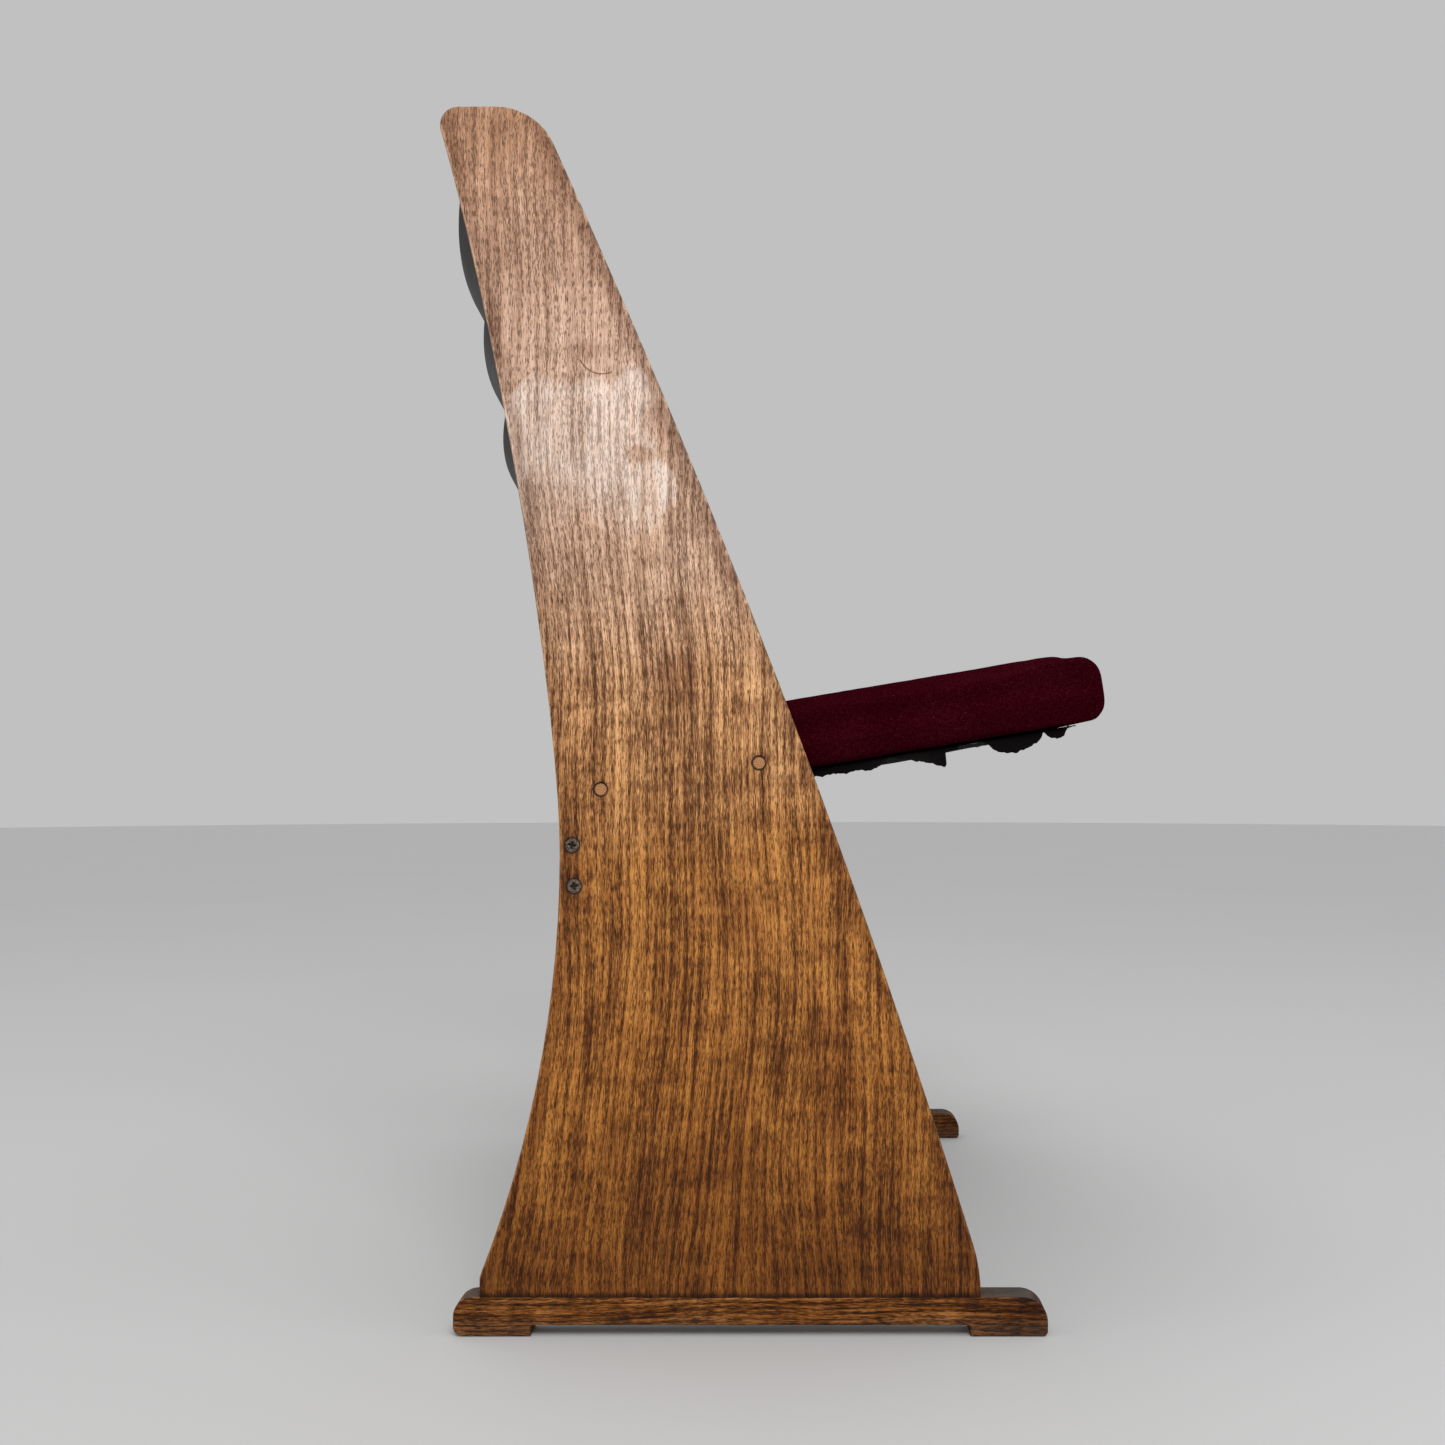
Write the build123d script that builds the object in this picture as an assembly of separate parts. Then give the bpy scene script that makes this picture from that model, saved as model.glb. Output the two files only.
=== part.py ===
from build123d import *
import os

# A bench seat between two shaped end panels. Each panel stands on a runner foot.
# Three bowed slats make the back, and a padded seat slopes up to the front.
# X runs across the bench, -Y is the front, +Z is up and the floor is at Z = 0.
# Millimetres and degrees.

# ---- driving dimensions: end panels and runner feet
bench_width = 600.0            # over the outer faces of the two end panels
panel_thickness = 18.0
panel_height = 846.0           # from the top of the runner to the top of the panel
runner_front = -206.5          # front end of the runner
runner_length = 423.0
runner_height = 28.0
runner_thickness = 22.0
runner_relief = 8.0            # how far the middle of the underside is cut away
runner_pad_length = 55.0       # bearing pad left at each end
runner_rear_top_radius = 14.0
runner_rear_bottom_radius = 7.0
runner_front_top_radius = 18.0
runner_front_bottom_radius = 4.0
runner_relief_radius = 2.0
panel_front_setback = 47.8     # runner's front end to the panel's front foot
panel_rear_setback = 18.9      # panel's rear foot to the runner's rear end
front_step_height = 20.0       # upright at the panel's front foot, before rounding
rear_step_height = 14.0        # upright at the panel's rear foot
waist_height = 343.0           # floor to the narrowest place of the back edge
waist_place = 140.6            # Y of the back edge at the waist
back_edge_rise = 101.0         # how far the back edge stays upright above the waist
back_edge_reach = 156.0        # how far it holds its lean below the top
back_edge_lean = 0.3           # lean of the back edge at the top, run over rise
top_rear_place = 230.0         # Y of the back edge at the top, before rounding
top_front_place = 157.1        # Y of the front edge at the top, before rounding
front_edge_bow = 14.7          # bulge of the front edge out of its straight line
top_rear_radius = 13.0
top_front_radius = 45.0
front_foot_radius = 120.0
rear_foot_radius = 8.0
edge_ease = 1.2                # worn arris of panels, runners and stretcher

# ---- driving dimensions: back slats
slat_height = 47.0
slat_thickness = 12.0
slat_bow_radius = 710.0        # of the back face, in plan
slat_recline = 28.5            # degrees, top leaning back
slat_inset = 18.0              # back face to the panel's back edge, at the ends
slat_housing_depth = 8.0       # blind housing in the panel
slat_glue_gap = 0.1
slat_edge_radius = 5.0
slat_drops = {                 # panel top down to the middle of each slat's end
    "upper_back_slat": 42.5,
    "middle_back_slat": 125.7,
    "lower_back_slat": 202.6,
}

# ---- driving dimensions: seat
seat_slope = 9.5               # degrees, front edge higher
seat_length = 389.5            # along the slope, over the cover
seat_rear_place = 137.7        # Y of the seat's upper rear edge
seat_rear_height = 425.1       # its height above the floor
board_thickness = 16.0
foam_thickness = 31.0
cover_thickness = 1.2
nose_top_radius = 25.8
nose_bottom_radius = 14.8
heel_radius = 6.0              # upper rear edge of the foam
cover_return = 35.0            # cover turned under the board
lining_thickness = 0.8
lining_margin = 8.0            # edge of the flat underside to the lining's edge

# ---- driving dimensions: rear stretcher
stretcher_thickness = 18.0
stretcher_height = 60.0
stretcher_middle_height = 334.6
stretcher_inset = 0.6          # its rear face to the panels' back edge at the waist

# ---- driving dimensions: screws and plugs
plug_diameter = 9.5
plug_length = 6.0
plug_recess = 0.5              # plug's end below the panel's face
seat_screw_places = [20.0, 134.0]   # along the seat from its rear edge
seat_screw_head = 8.6
seat_screw_head_height = 3.0
seat_screw_shank = 4.5
seat_screw_grip = 34.0         # shank beyond the panel's inner face
stretcher_screw_spacing = 29.1
stretcher_screw_stagger = 1.4  # upper screw behind the lower one
stretcher_screw_head = 10.5
stretcher_screw_head_height = 3.2
stretcher_screw_shank = 5.0
stretcher_screw_grip = 38.0
screw_sink = 0.3               # countersunk head below its surface
runner_screws_each = 3
runner_screw_margin = 60.0     # end screws to the ends of the panel's foot
runner_screw_head = 9.0
runner_screw_head_height = 2.8
runner_screw_shank = 4.5
runner_screw_grip = 32.0       # shank inside the panel
recess_span = 6.0              # cross recess of the screw heads
recess_width = 1.3
recess_depth = 1.8

# ---- driving dimensions: upholstery tacks
tack_head = 7.0
tack_head_height = 0.8
tack_shank = 1.6
tack_tip_clearance = 1.0       # tips of the tacks to the seat screws
tack_pitch = 70.0
lining_tack_margin = 13.0      # edge of the flat underside to each line of tacks
cover_tack_margin = 22.0

# ---- sizes worked out from the ones above
inner_width = bench_width - 2 * panel_thickness
outer_face = -bench_width / 2
inner_face = -inner_width / 2
runner_rear = runner_front + runner_length
panel_top = runner_height + panel_height
front_foot = runner_front + panel_front_setback
rear_foot = runner_rear - panel_rear_setback
core_width = inner_width - 2 * cover_thickness
board_top = -cover_thickness - foam_thickness
board_bottom = board_top - board_thickness
cover_bottom = board_bottom - cover_thickness
lining_top = cover_bottom - tack_head_height
lining_bottom = lining_top - lining_thickness
tack_grip = board_thickness / 2 - seat_screw_shank / 2 - tack_tip_clearance
flat_front = nose_bottom_radius + cover_thickness - seat_length

side_plane = Plane(origin=(0, 0, 0), x_dir=(0, 1, 0), z_dir=(1, 0, 0))
seat_frame = Location((0, seat_rear_place, seat_rear_height), (-seat_slope, 0, 0))


# ---- helpers
def nearest_corner(face, point):
    return min(face.vertices(), key=lambda v: (Vector(*v) - Vector(*point)).length)


def round_corners(face, corners):
    """Round the named corners of a flat outline: a list of point and radius."""
    for point, radius in corners:
        face = fillet(nearest_corner(face, point), radius)
    return face


def slab(face, start, thickness):
    """A side outline, drawn as depth and height, made solid along X from start."""
    return extrude(Pos(start, 0, 0) * (side_plane * face), amount=thickness, dir=(1, 0, 0))


def ease_arrises(blank, above):
    """Round the long arrises of both side faces of a slab, above a height."""
    sides = blank.faces().sort_by(Axis.X)
    arrises = [e for face in (sides[0], sides[-1]) for e in face.edges() if (e @ 0.5).Z > above]
    return fillet(arrises, edge_ease)


def rod(diameter, start, length, place):
    """A cylinder along X that begins at start; place is its Y and Z."""
    middle = (start + length / 2, place[0], place[1])
    return Location(middle, (0, 90, 0)) * Cylinder(diameter / 2, length)


def countersunk_screw(head, head_height, shank, length):
    """A screw pointing along +Z with the face of its head at Z = 0."""
    cone = Pos(0, 0, head_height / 2) * Cone(head / 2, shank / 2, head_height)
    stem = Pos(0, 0, length / 2) * Cylinder(shank / 2, length)
    return cone + stem


def cross_recess():
    bar = Box(recess_span, recess_width, 2 * recess_depth)
    return bar + Rot(0, 0, 90) * bar


def both_ends(shape):
    return [shape, mirror(shape, about=Plane.YZ)]


# ---- end panels
def back_edge_curve():
    waist = Vector(waist_place, waist_height)
    top = Vector(top_rear_place, panel_top)
    rise = Vector(0, back_edge_rise)
    reach = Vector(back_edge_lean * back_edge_reach, back_edge_reach)
    return Bezier(waist, waist + rise, top - reach, top)


def back_edge_place(height):
    """Y of the back edge at a height above the waist."""
    curve = back_edge_curve()
    low = 0.0
    high = 1.0
    for _ in range(40):
        middle = (low + high) / 2
        if (curve @ middle).Y < height:
            low = middle
        else:
            high = middle
    return (curve @ low).X


def panel_face():
    waist = (waist_place, waist_height)
    rear_base = (rear_foot, runner_height)
    rear_step = (rear_foot, runner_height + rear_step_height)
    rear_top = (top_rear_place, panel_top)
    front_top = (top_front_place, panel_top)
    front_step = (front_foot, runner_height + front_step_height)
    front_base = (front_foot, runner_height)
    chord = Vector(*front_top) - Vector(*front_step)
    bow = Vector(-chord.Y, chord.X).normalized() * front_edge_bow
    front_middle = (Vector(*front_step) + Vector(*front_top)) / 2 + bow
    face = make_face([
        Line(rear_base, rear_step),
        TangentArc(waist, rear_step, tangent=(0, -1)),
        back_edge_curve(),
        Line(rear_top, front_top),
        ThreePointArc(front_top, front_middle, front_step),
        Line(front_step, front_base),
        Line(front_base, rear_base),
    ])
    return round_corners(face, [
        (rear_top, top_rear_radius),
        (front_top, top_front_radius),
        (front_step, front_foot_radius),
        (rear_step, rear_foot_radius),
    ])


def left_panel_blank():
    blank = slab(panel_face(), outer_face, panel_thickness)
    return ease_arrises(blank, runner_height + edge_ease / 2)


# ---- runner feet
def runner_face():
    front_pad = runner_front + runner_pad_length
    rear_pad = runner_rear - runner_pad_length
    front_base = (runner_front, 0)
    front_top = (runner_front, runner_height)
    rear_base = (runner_rear, 0)
    rear_top = (runner_rear, runner_height)
    relief = [(rear_pad, runner_relief), (front_pad, runner_relief)]
    outline = [front_base, front_top, rear_top, rear_base, (rear_pad, 0), *relief, (front_pad, 0)]
    face = make_face(Polyline(*outline, close=True))
    return round_corners(face, [
        (front_base, runner_front_bottom_radius),
        (front_top, runner_front_top_radius),
        (rear_base, runner_rear_bottom_radius),
        (rear_top, runner_rear_top_radius),
        (relief[0], runner_relief_radius),
        (relief[1], runner_relief_radius),
    ])


def left_runner_blank():
    return ease_arrises(slab(runner_face(), outer_face, runner_thickness), -edge_ease)


# ---- back slats
def slat_ring(height_at, gap):
    """A slat in place. The gap grows it on every side, for cutting its housings."""
    half_span = inner_width / 2
    centre = -(slat_bow_radius ** 2 - half_span ** 2) ** 0.5
    back = centre + slat_bow_radius
    section = RectangleRounded(slat_thickness + 2 * gap, slat_height + 2 * gap, slat_edge_radius)
    section = side_plane * (Pos(back - slat_thickness / 2, 0, 0) * section)
    hub = Axis((0, centre, 0), (0, 0, 1))
    ring = revolve(section.rotate(hub, -45), hub, 90)
    length = inner_width + 2 * (slat_housing_depth + gap)
    slat = ring & Box(length, 4 * slat_bow_radius, 2 * slat_height)
    end = (0, back_edge_place(height_at) - slat_inset, height_at)
    return Location(end, (-slat_recline, 0, 0)) * slat


# ---- seat, drawn level with its upper rear edge at the origin, then sloped
def seat_profile(grow):
    """Side outline of board and foam, grown on every side by the cover's thickness."""
    rear = -cover_thickness + grow
    front = cover_thickness - seat_length - grow
    top = -cover_thickness + grow
    bottom = board_bottom - grow
    corners = [(rear, top), (front, top), (front, bottom), (rear, bottom)]
    face = make_face(Polyline(*corners, close=True))
    return round_corners(face, [
        (corners[0], heel_radius + grow),
        (corners[1], nose_top_radius + grow),
        (corners[2], nose_bottom_radius + grow),
    ])


def seat_block(grow, width):
    return slab(seat_profile(grow), -width / 2, width)


def level_box(half_width, front, rear, bottom, top):
    middle = (0, (front + rear) / 2, (bottom + top) / 2)
    return Pos(*middle) * Box(2 * half_width, rear - front, top - bottom)


def underside_box(margin, bottom, top):
    """A box under the seat, the margin inside the flat part of its underside."""
    return level_box(inner_width / 2 - margin, flat_front + margin, -margin, bottom, top)


def tack_places(margin):
    """Places of tacks in a rectangle round the underside, at about the pitch."""
    half_width = inner_width / 2 - margin
    front = flat_front + margin
    rear = -margin
    across = round(2 * half_width / tack_pitch)
    along = round((rear - front) / tack_pitch)
    places = []
    for i in range(across + 1):
        x = -half_width + 2 * half_width * i / across
        places += [(x, front), (x, rear)]
    for i in range(1, along):
        y = front + (rear - front) * i / along
        places += [(-half_width, y), (half_width, y)]
    return places


def tacks(margin, seat_face):
    """Tacks driven up from a face under the seat into the board."""
    shank_length = board_bottom + tack_grip - seat_face
    head = Pos(0, 0, seat_face - tack_head_height / 2) * Cylinder(tack_head / 2, tack_head_height)
    shank = Pos(0, 0, seat_face + shank_length / 2) * Cylinder(tack_shank / 2, shank_length)
    tack = head + shank
    return [seat_frame * (Pos(x, y, 0) * tack) for x, y in tack_places(margin)]


# ---- screws at the left end
def seat_screw_spots():
    """Y and Z of the screws, in the middle of the seat board's edge."""
    spots = []
    for place in seat_screw_places:
        spot = seat_frame * Pos(0, -place, (board_top + board_bottom) / 2)
        spots.append((spot.position.Y, spot.position.Z))
    return spots


def seat_screw(spot):
    head_start = outer_face + plug_recess + plug_length
    shank_start = head_start + seat_screw_head_height
    shank_length = inner_face + seat_screw_grip - shank_start
    head = rod(seat_screw_head, head_start, seat_screw_head_height, spot)
    return head + rod(seat_screw_shank, shank_start, shank_length, spot)


def seat_plug(spot):
    return rod(plug_diameter, outer_face + plug_recess, plug_length, spot)


def seat_counterbore(spot):
    depth = plug_recess + plug_length + seat_screw_head_height
    return rod(plug_diameter, outer_face, depth, spot)


def stretcher_screw_spots():
    middle = waist_place - stretcher_inset - stretcher_thickness / 2
    stagger = stretcher_screw_stagger / 2
    spacing = stretcher_screw_spacing / 2
    return [
        (middle + stagger, stretcher_middle_height + spacing),
        (middle - stagger, stretcher_middle_height - spacing),
    ]


def stretcher_screw(spot, recessed):
    length = panel_thickness - screw_sink + stretcher_screw_grip
    screw = countersunk_screw(
        stretcher_screw_head, stretcher_screw_head_height, stretcher_screw_shank, length
    )
    if recessed:
        screw = screw - cross_recess()
    return Location((outer_face + screw_sink, *spot), (0, 90, 0)) * screw


def runner_screw_spots():
    front = front_foot + runner_screw_margin
    rear = rear_foot - runner_screw_margin
    step = (rear - front) / (runner_screws_each - 1)
    return [front + step * i for i in range(runner_screws_each)]


def runner_screw(spot, recessed):
    length = runner_height - runner_relief - screw_sink + runner_screw_grip
    screw = countersunk_screw(
        runner_screw_head, runner_screw_head_height, runner_screw_shank, length
    )
    if recessed:
        screw = screw - cross_recess()
    return Pos(outer_face + panel_thickness / 2, spot, runner_relief + screw_sink) * screw


def head_clearances():
    """Short bores that let the countersunk heads sit below their surfaces."""
    bores = [rod(stretcher_screw_head, outer_face, screw_sink, s) for s in stretcher_screw_spots()]
    for spot in runner_screw_spots():
        middle = (outer_face + panel_thickness / 2, spot, runner_relief + screw_sink / 2)
        bores.append(Pos(*middle) * Cylinder(runner_screw_head / 2, screw_sink))
    return bores


# ---- assembly
slats = {}
slat_housings = []
for slat_name, drop in slat_drops.items():
    slats[slat_name] = slat_ring(panel_top - drop, 0)
    slat_housings.append(slat_ring(panel_top - drop, slat_glue_gap))

seat_screws = [seat_screw(s) for s in seat_screw_spots()]
seat_plugs = [seat_plug(s) for s in seat_screw_spots()]
stretcher_screws = [stretcher_screw(s, True) for s in stretcher_screw_spots()]
runner_screws = [runner_screw(s, True) for s in runner_screw_spots()]
cover_tacks = tacks(cover_tack_margin, cover_bottom)
lining_tacks = tacks(lining_tack_margin, lining_bottom)

stretcher_cuts = [stretcher_screw(s, False) for s in stretcher_screw_spots()]
runner_cuts = [runner_screw(s, False) for s in runner_screw_spots()]
counterbores = [seat_counterbore(s) for s in seat_screw_spots()]
end_cuts = seat_screws + counterbores + stretcher_cuts + runner_cuts + head_clearances()

left_panel = left_panel_blank() - slat_housings - end_cuts
left_runner = left_runner_blank() - runner_cuts - head_clearances()

stretcher_rear = waist_place - stretcher_inset
stretcher_middle = (0, stretcher_rear - stretcher_thickness / 2, stretcher_middle_height)
stretcher_blank = Box(inner_width, stretcher_thickness, stretcher_height)
stretcher_blank = fillet(stretcher_blank.edges().filter_by(Axis.X), edge_ease)
stretcher = Pos(*stretcher_middle) * stretcher_blank
for cut in stretcher_cuts:
    stretcher = stretcher - both_ends(cut)

core = seat_block(0, core_width)
past_seat = 2 * seat_length
below_board = level_box(inner_width, -past_seat, past_seat, -past_seat, board_top)
cover_window = underside_box(cover_return, cover_bottom, board_bottom)
seat_drillings = cover_tacks + lining_tacks
for screw in seat_screws:
    seat_drillings = seat_drillings + both_ends(screw)

seat_board = seat_frame * (core & below_board) - seat_drillings
seat_foam = seat_frame * (core - below_board)
seat_cover = seat_frame * (seat_block(cover_thickness, inner_width) - core - cover_window)
seat_cover = seat_cover - seat_drillings
seat_lining = seat_frame * underside_box(lining_margin, lining_bottom, lining_top) - lining_tacks

nodes = {
    "left_end_panel": left_panel,
    "right_end_panel": mirror(left_panel, about=Plane.YZ),
    "left_runner": left_runner,
    "right_runner": mirror(left_runner, about=Plane.YZ),
    **slats,
    "rear_stretcher": stretcher,
    "seat_board": seat_board,
    "seat_foam": seat_foam,
    "seat_cover": seat_cover,
    "seat_lining": seat_lining,
    "seat_screws": Compound([s for screw in seat_screws for s in both_ends(screw)]),
    "seat_screw_plugs": Compound([s for plug in seat_plugs for s in both_ends(plug)]),
    "stretcher_screws": Compound([s for screw in stretcher_screws for s in both_ends(screw)]),
    "runner_screws": Compound([s for screw in runner_screws for s in both_ends(screw)]),
    "cover_tacks": Compound(cover_tacks),
    "lining_tacks": Compound(lining_tacks),
}

# The frame's origin is on the floor, under the middle of the whole bench.
reach = Compound(list(nodes.values())).bounding_box()
centring = Pos(0, -(reach.min.Y + reach.max.Y) / 2, 0)

os.makedirs("parts", exist_ok=True)
for name, shape in nodes.items():
    export_step(centring * shape, f"parts/{name}.step")
print(f"centring shift {centring.position.Y:.3f}")
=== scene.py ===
# %% [markdown]
# # A church-hall bench seat
# The bench has two oak-veneered end panels on runner feet, three bowed back slats, a rear
# stretcher and a padded seat in wine-coloured cloth. The frame is a finished engineering model,
# so this notebook only dresses it. Wood that keeps its exact shape gets a material, while the
# cushion and its board, the lining, slats, screws, plugs and tacks are modelled afresh and stand
# in for the plain solids.

# %% Load the fixed frame
import bpy
import bmesh
import math
import numpy as np
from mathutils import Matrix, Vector, noise


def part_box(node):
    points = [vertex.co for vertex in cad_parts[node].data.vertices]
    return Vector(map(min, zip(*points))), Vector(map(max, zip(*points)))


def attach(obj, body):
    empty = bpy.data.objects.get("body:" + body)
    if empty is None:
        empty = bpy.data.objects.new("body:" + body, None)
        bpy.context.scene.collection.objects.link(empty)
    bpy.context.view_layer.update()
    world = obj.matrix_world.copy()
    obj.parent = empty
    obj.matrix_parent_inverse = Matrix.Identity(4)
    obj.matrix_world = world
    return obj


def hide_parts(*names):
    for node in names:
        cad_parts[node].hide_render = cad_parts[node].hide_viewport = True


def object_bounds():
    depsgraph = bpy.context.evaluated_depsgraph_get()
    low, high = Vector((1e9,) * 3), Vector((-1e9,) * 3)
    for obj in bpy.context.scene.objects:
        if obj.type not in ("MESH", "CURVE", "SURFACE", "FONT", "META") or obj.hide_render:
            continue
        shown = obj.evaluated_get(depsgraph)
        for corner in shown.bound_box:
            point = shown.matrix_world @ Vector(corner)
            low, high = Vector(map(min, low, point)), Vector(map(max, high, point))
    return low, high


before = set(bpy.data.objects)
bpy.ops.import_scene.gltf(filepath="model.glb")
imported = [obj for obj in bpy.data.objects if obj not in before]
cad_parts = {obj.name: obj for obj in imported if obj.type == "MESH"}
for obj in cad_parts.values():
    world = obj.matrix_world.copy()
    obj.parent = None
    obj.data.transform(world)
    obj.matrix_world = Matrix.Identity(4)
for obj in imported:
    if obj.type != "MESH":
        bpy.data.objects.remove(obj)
cad_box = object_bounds()
print(len(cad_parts), "nodes, in metres from", tuple(cad_box[0]), "to", tuple(cad_box[1]))

# %% [markdown]
# ## The camera
# The bench is seen square on from outside its left end, as in a plan elevation, from about a
# metre away. A long step back with a long lens would look flatter; this near view keeps the far
# foot small. The view is framed off the camera's axis, which the lens shift gives without
# tilting the upright edges.

# %% Place the camera
CAMERA_DISTANCE = 1.0276       # from the near panel's outer face
CAMERA_DEPTH = -0.0345         # where the axis meets the bench, front to back
CAMERA_HEIGHT = 0.3918
FIELD_WIDTH = 1.026            # width of the view at the near panel
SHIFT_ACROSS, SHIFT_UP = -0.0536, 0.0433      # shares of the field's width
SENSOR_WIDTH = 36.0

camera_data = bpy.data.cameras.new("bench_view")
camera_data.sensor_width = SENSOR_WIDTH
camera_data.lens = SENSOR_WIDTH * CAMERA_DISTANCE / FIELD_WIDTH
camera_data.shift_x = SHIFT_ACROSS
camera_data.shift_y = SHIFT_UP
camera = bpy.data.objects.new("bench_view", camera_data)
camera.location = (cad_box[0].x - CAMERA_DISTANCE, CAMERA_DEPTH, CAMERA_HEIGHT)
camera.rotation_euler = (math.radians(90), 0, math.radians(-90))
bpy.context.scene.collection.objects.link(camera)
bpy.context.scene.camera = camera
bpy.context.scene.view_settings.view_transform = "Standard"
print("lens", round(camera_data.lens, 2), "mm")

# %% [markdown]
# ## Writing node graphs as sums
# Shader and geometry nodes are both graphs of sockets. Wiring them one by one is slow to write
# and to read, so a small class wraps a socket and overloads the arithmetic operators: a sum of
# two values adds a Math node. Every other node comes from one method that takes the node's type,
# its settings and what goes into its sockets. Three kinds of graph build on that: any tree, a
# material, and a geometry tree with named inputs.

# %% Wrap sockets in arithmetic
class Value:
    """The output socket of a node, which takes part in ordinary sums."""

    def __init__(self, graph, node, output):
        self.graph = graph
        self.node = node
        self.socket = node.outputs[output] if len(node.outputs) else None

    def also(self, output):
        """Another output of the same node."""
        return Value(self.graph, self.node, output)

    def sum(self, operation, first, second):
        return self.graph.node("ShaderNodeMath", {"operation": operation}, {0: first, 1: second})

    def __add__(self, other):
        return self.sum("ADD", self, other)

    def __radd__(self, other):
        return self.sum("ADD", other, self)

    def __sub__(self, other):
        return self.sum("SUBTRACT", self, other)

    def __rsub__(self, other):
        return self.sum("SUBTRACT", other, self)

    def __mul__(self, other):
        return self.sum("MULTIPLY", self, other)

    def __rmul__(self, other):
        return self.sum("MULTIPLY", other, self)

    def __truediv__(self, other):
        return self.sum("DIVIDE", self, other)

    def __pow__(self, other):
        return self.sum("POWER", self, other)

    def __gt__(self, other):
        return self.sum("GREATER_THAN", self, other)

    def __lt__(self, other):
        return self.sum("LESS_THAN", self, other)

    def __abs__(self):
        return self.sum("ABSOLUTE", self, 0.0)

    def larger(self, other):
        return self.sum("MAXIMUM", self, other)

    def smaller(self, other):
        return self.sum("MINIMUM", self, other)


class Graph:
    """A node tree of either kind, with one method that adds any node."""

    def __init__(self, tree):
        self.tree = tree

    def node(self, kind, settings=None, sockets=None, output=0):
        made = self.tree.nodes.new(kind)
        for name, setting in (settings or {}).items():
            if name == "stops":
                self.set_stops(made.color_ramp, setting)
            else:
                setattr(made, name, setting)
        for name, value in (sockets or {}).items():
            if isinstance(value, Value):
                self.tree.links.new(value.socket, made.inputs[name])
            else:
                made.inputs[name].default_value = value
        return Value(self, made, output)

    @staticmethod
    def set_stops(ramp, stops):
        while len(ramp.elements) < len(stops):
            ramp.elements.new(1.0)
        for element, (place, colour) in zip(ramp.elements, stops):
            element.position = place
            element.color = (*colour, 1.0)


class Finish(Graph):
    """A material, with the few shader steps that every finish here uses."""

    def __init__(self, name):
        self.material = bpy.data.materials.new(name)
        self.material.use_nodes = True
        super().__init__(self.material.node_tree)
        self.tree.nodes.clear()

    def place(self):
        """X, Y and Z of the point, in the object's own metres."""
        where = self.node("ShaderNodeTexCoord", output="Object")
        x = self.node("ShaderNodeSeparateXYZ", None, {0: where})
        return x, x.also(1), x.also(2)

    def upwards(self):
        """How far the surface faces up: 1 on top, 0 on a side and -1 below."""
        way = self.node("ShaderNodeNewGeometry", output="Normal")
        return self.node("ShaderNodeSeparateXYZ", None, {0: way}).also(2)

    def point(self, x, y, z):
        return self.node("ShaderNodeCombineXYZ", None, {0: x, 1: y, 2: z})

    def noise(self, point, scale, detail=3.0, roughness=0.5):
        sockets = {"Vector": point, "Scale": scale, "Detail": detail, "Roughness": roughness}
        return self.node("ShaderNodeTexNoise", None, sockets)

    def cells(self, point, scale):
        return self.node("ShaderNodeTexVoronoi", None, {"Vector": point, "Scale": scale})

    def step(self, low, high, value):
        """0 below low, 1 above high, and a smooth climb between."""
        sockets = {"Value": value, "From Min": low, "From Max": high}
        return self.node("ShaderNodeMapRange", {"interpolation_type": "SMOOTHSTEP"}, sockets)

    def between(self, amount, first, second):
        return first + amount * (second - first)

    def mix(self, amount, first, second, blend="MIX"):
        settings = {"data_type": "RGBA", "blend_type": blend}
        return self.node("ShaderNodeMix", settings, {0: amount, 6: first, 7: second}, output=2)

    def ramp(self, value, stops):
        return self.node("ShaderNodeValToRGB", {"stops": stops}, {0: value})

    def bump(self, height, distance, strength=1.0, under=None):
        sockets = {"Height": height, "Distance": distance, "Strength": strength}
        if under is not None:
            sockets["Normal"] = under
        return self.node("ShaderNodeBump", None, sockets)

    def close(self, **sockets):
        """Wire the surface, naming its sockets with underscores for spaces."""
        named = {name.replace("_", " "): value for name, value in sockets.items()}
        surface = self.node("ShaderNodeBsdfPrincipled", None, named)
        self.node("ShaderNodeOutputMaterial", None, {"Surface": surface})
        return self.material


CREASE = math.radians(38)      # edges sharper than this stay creased


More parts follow.
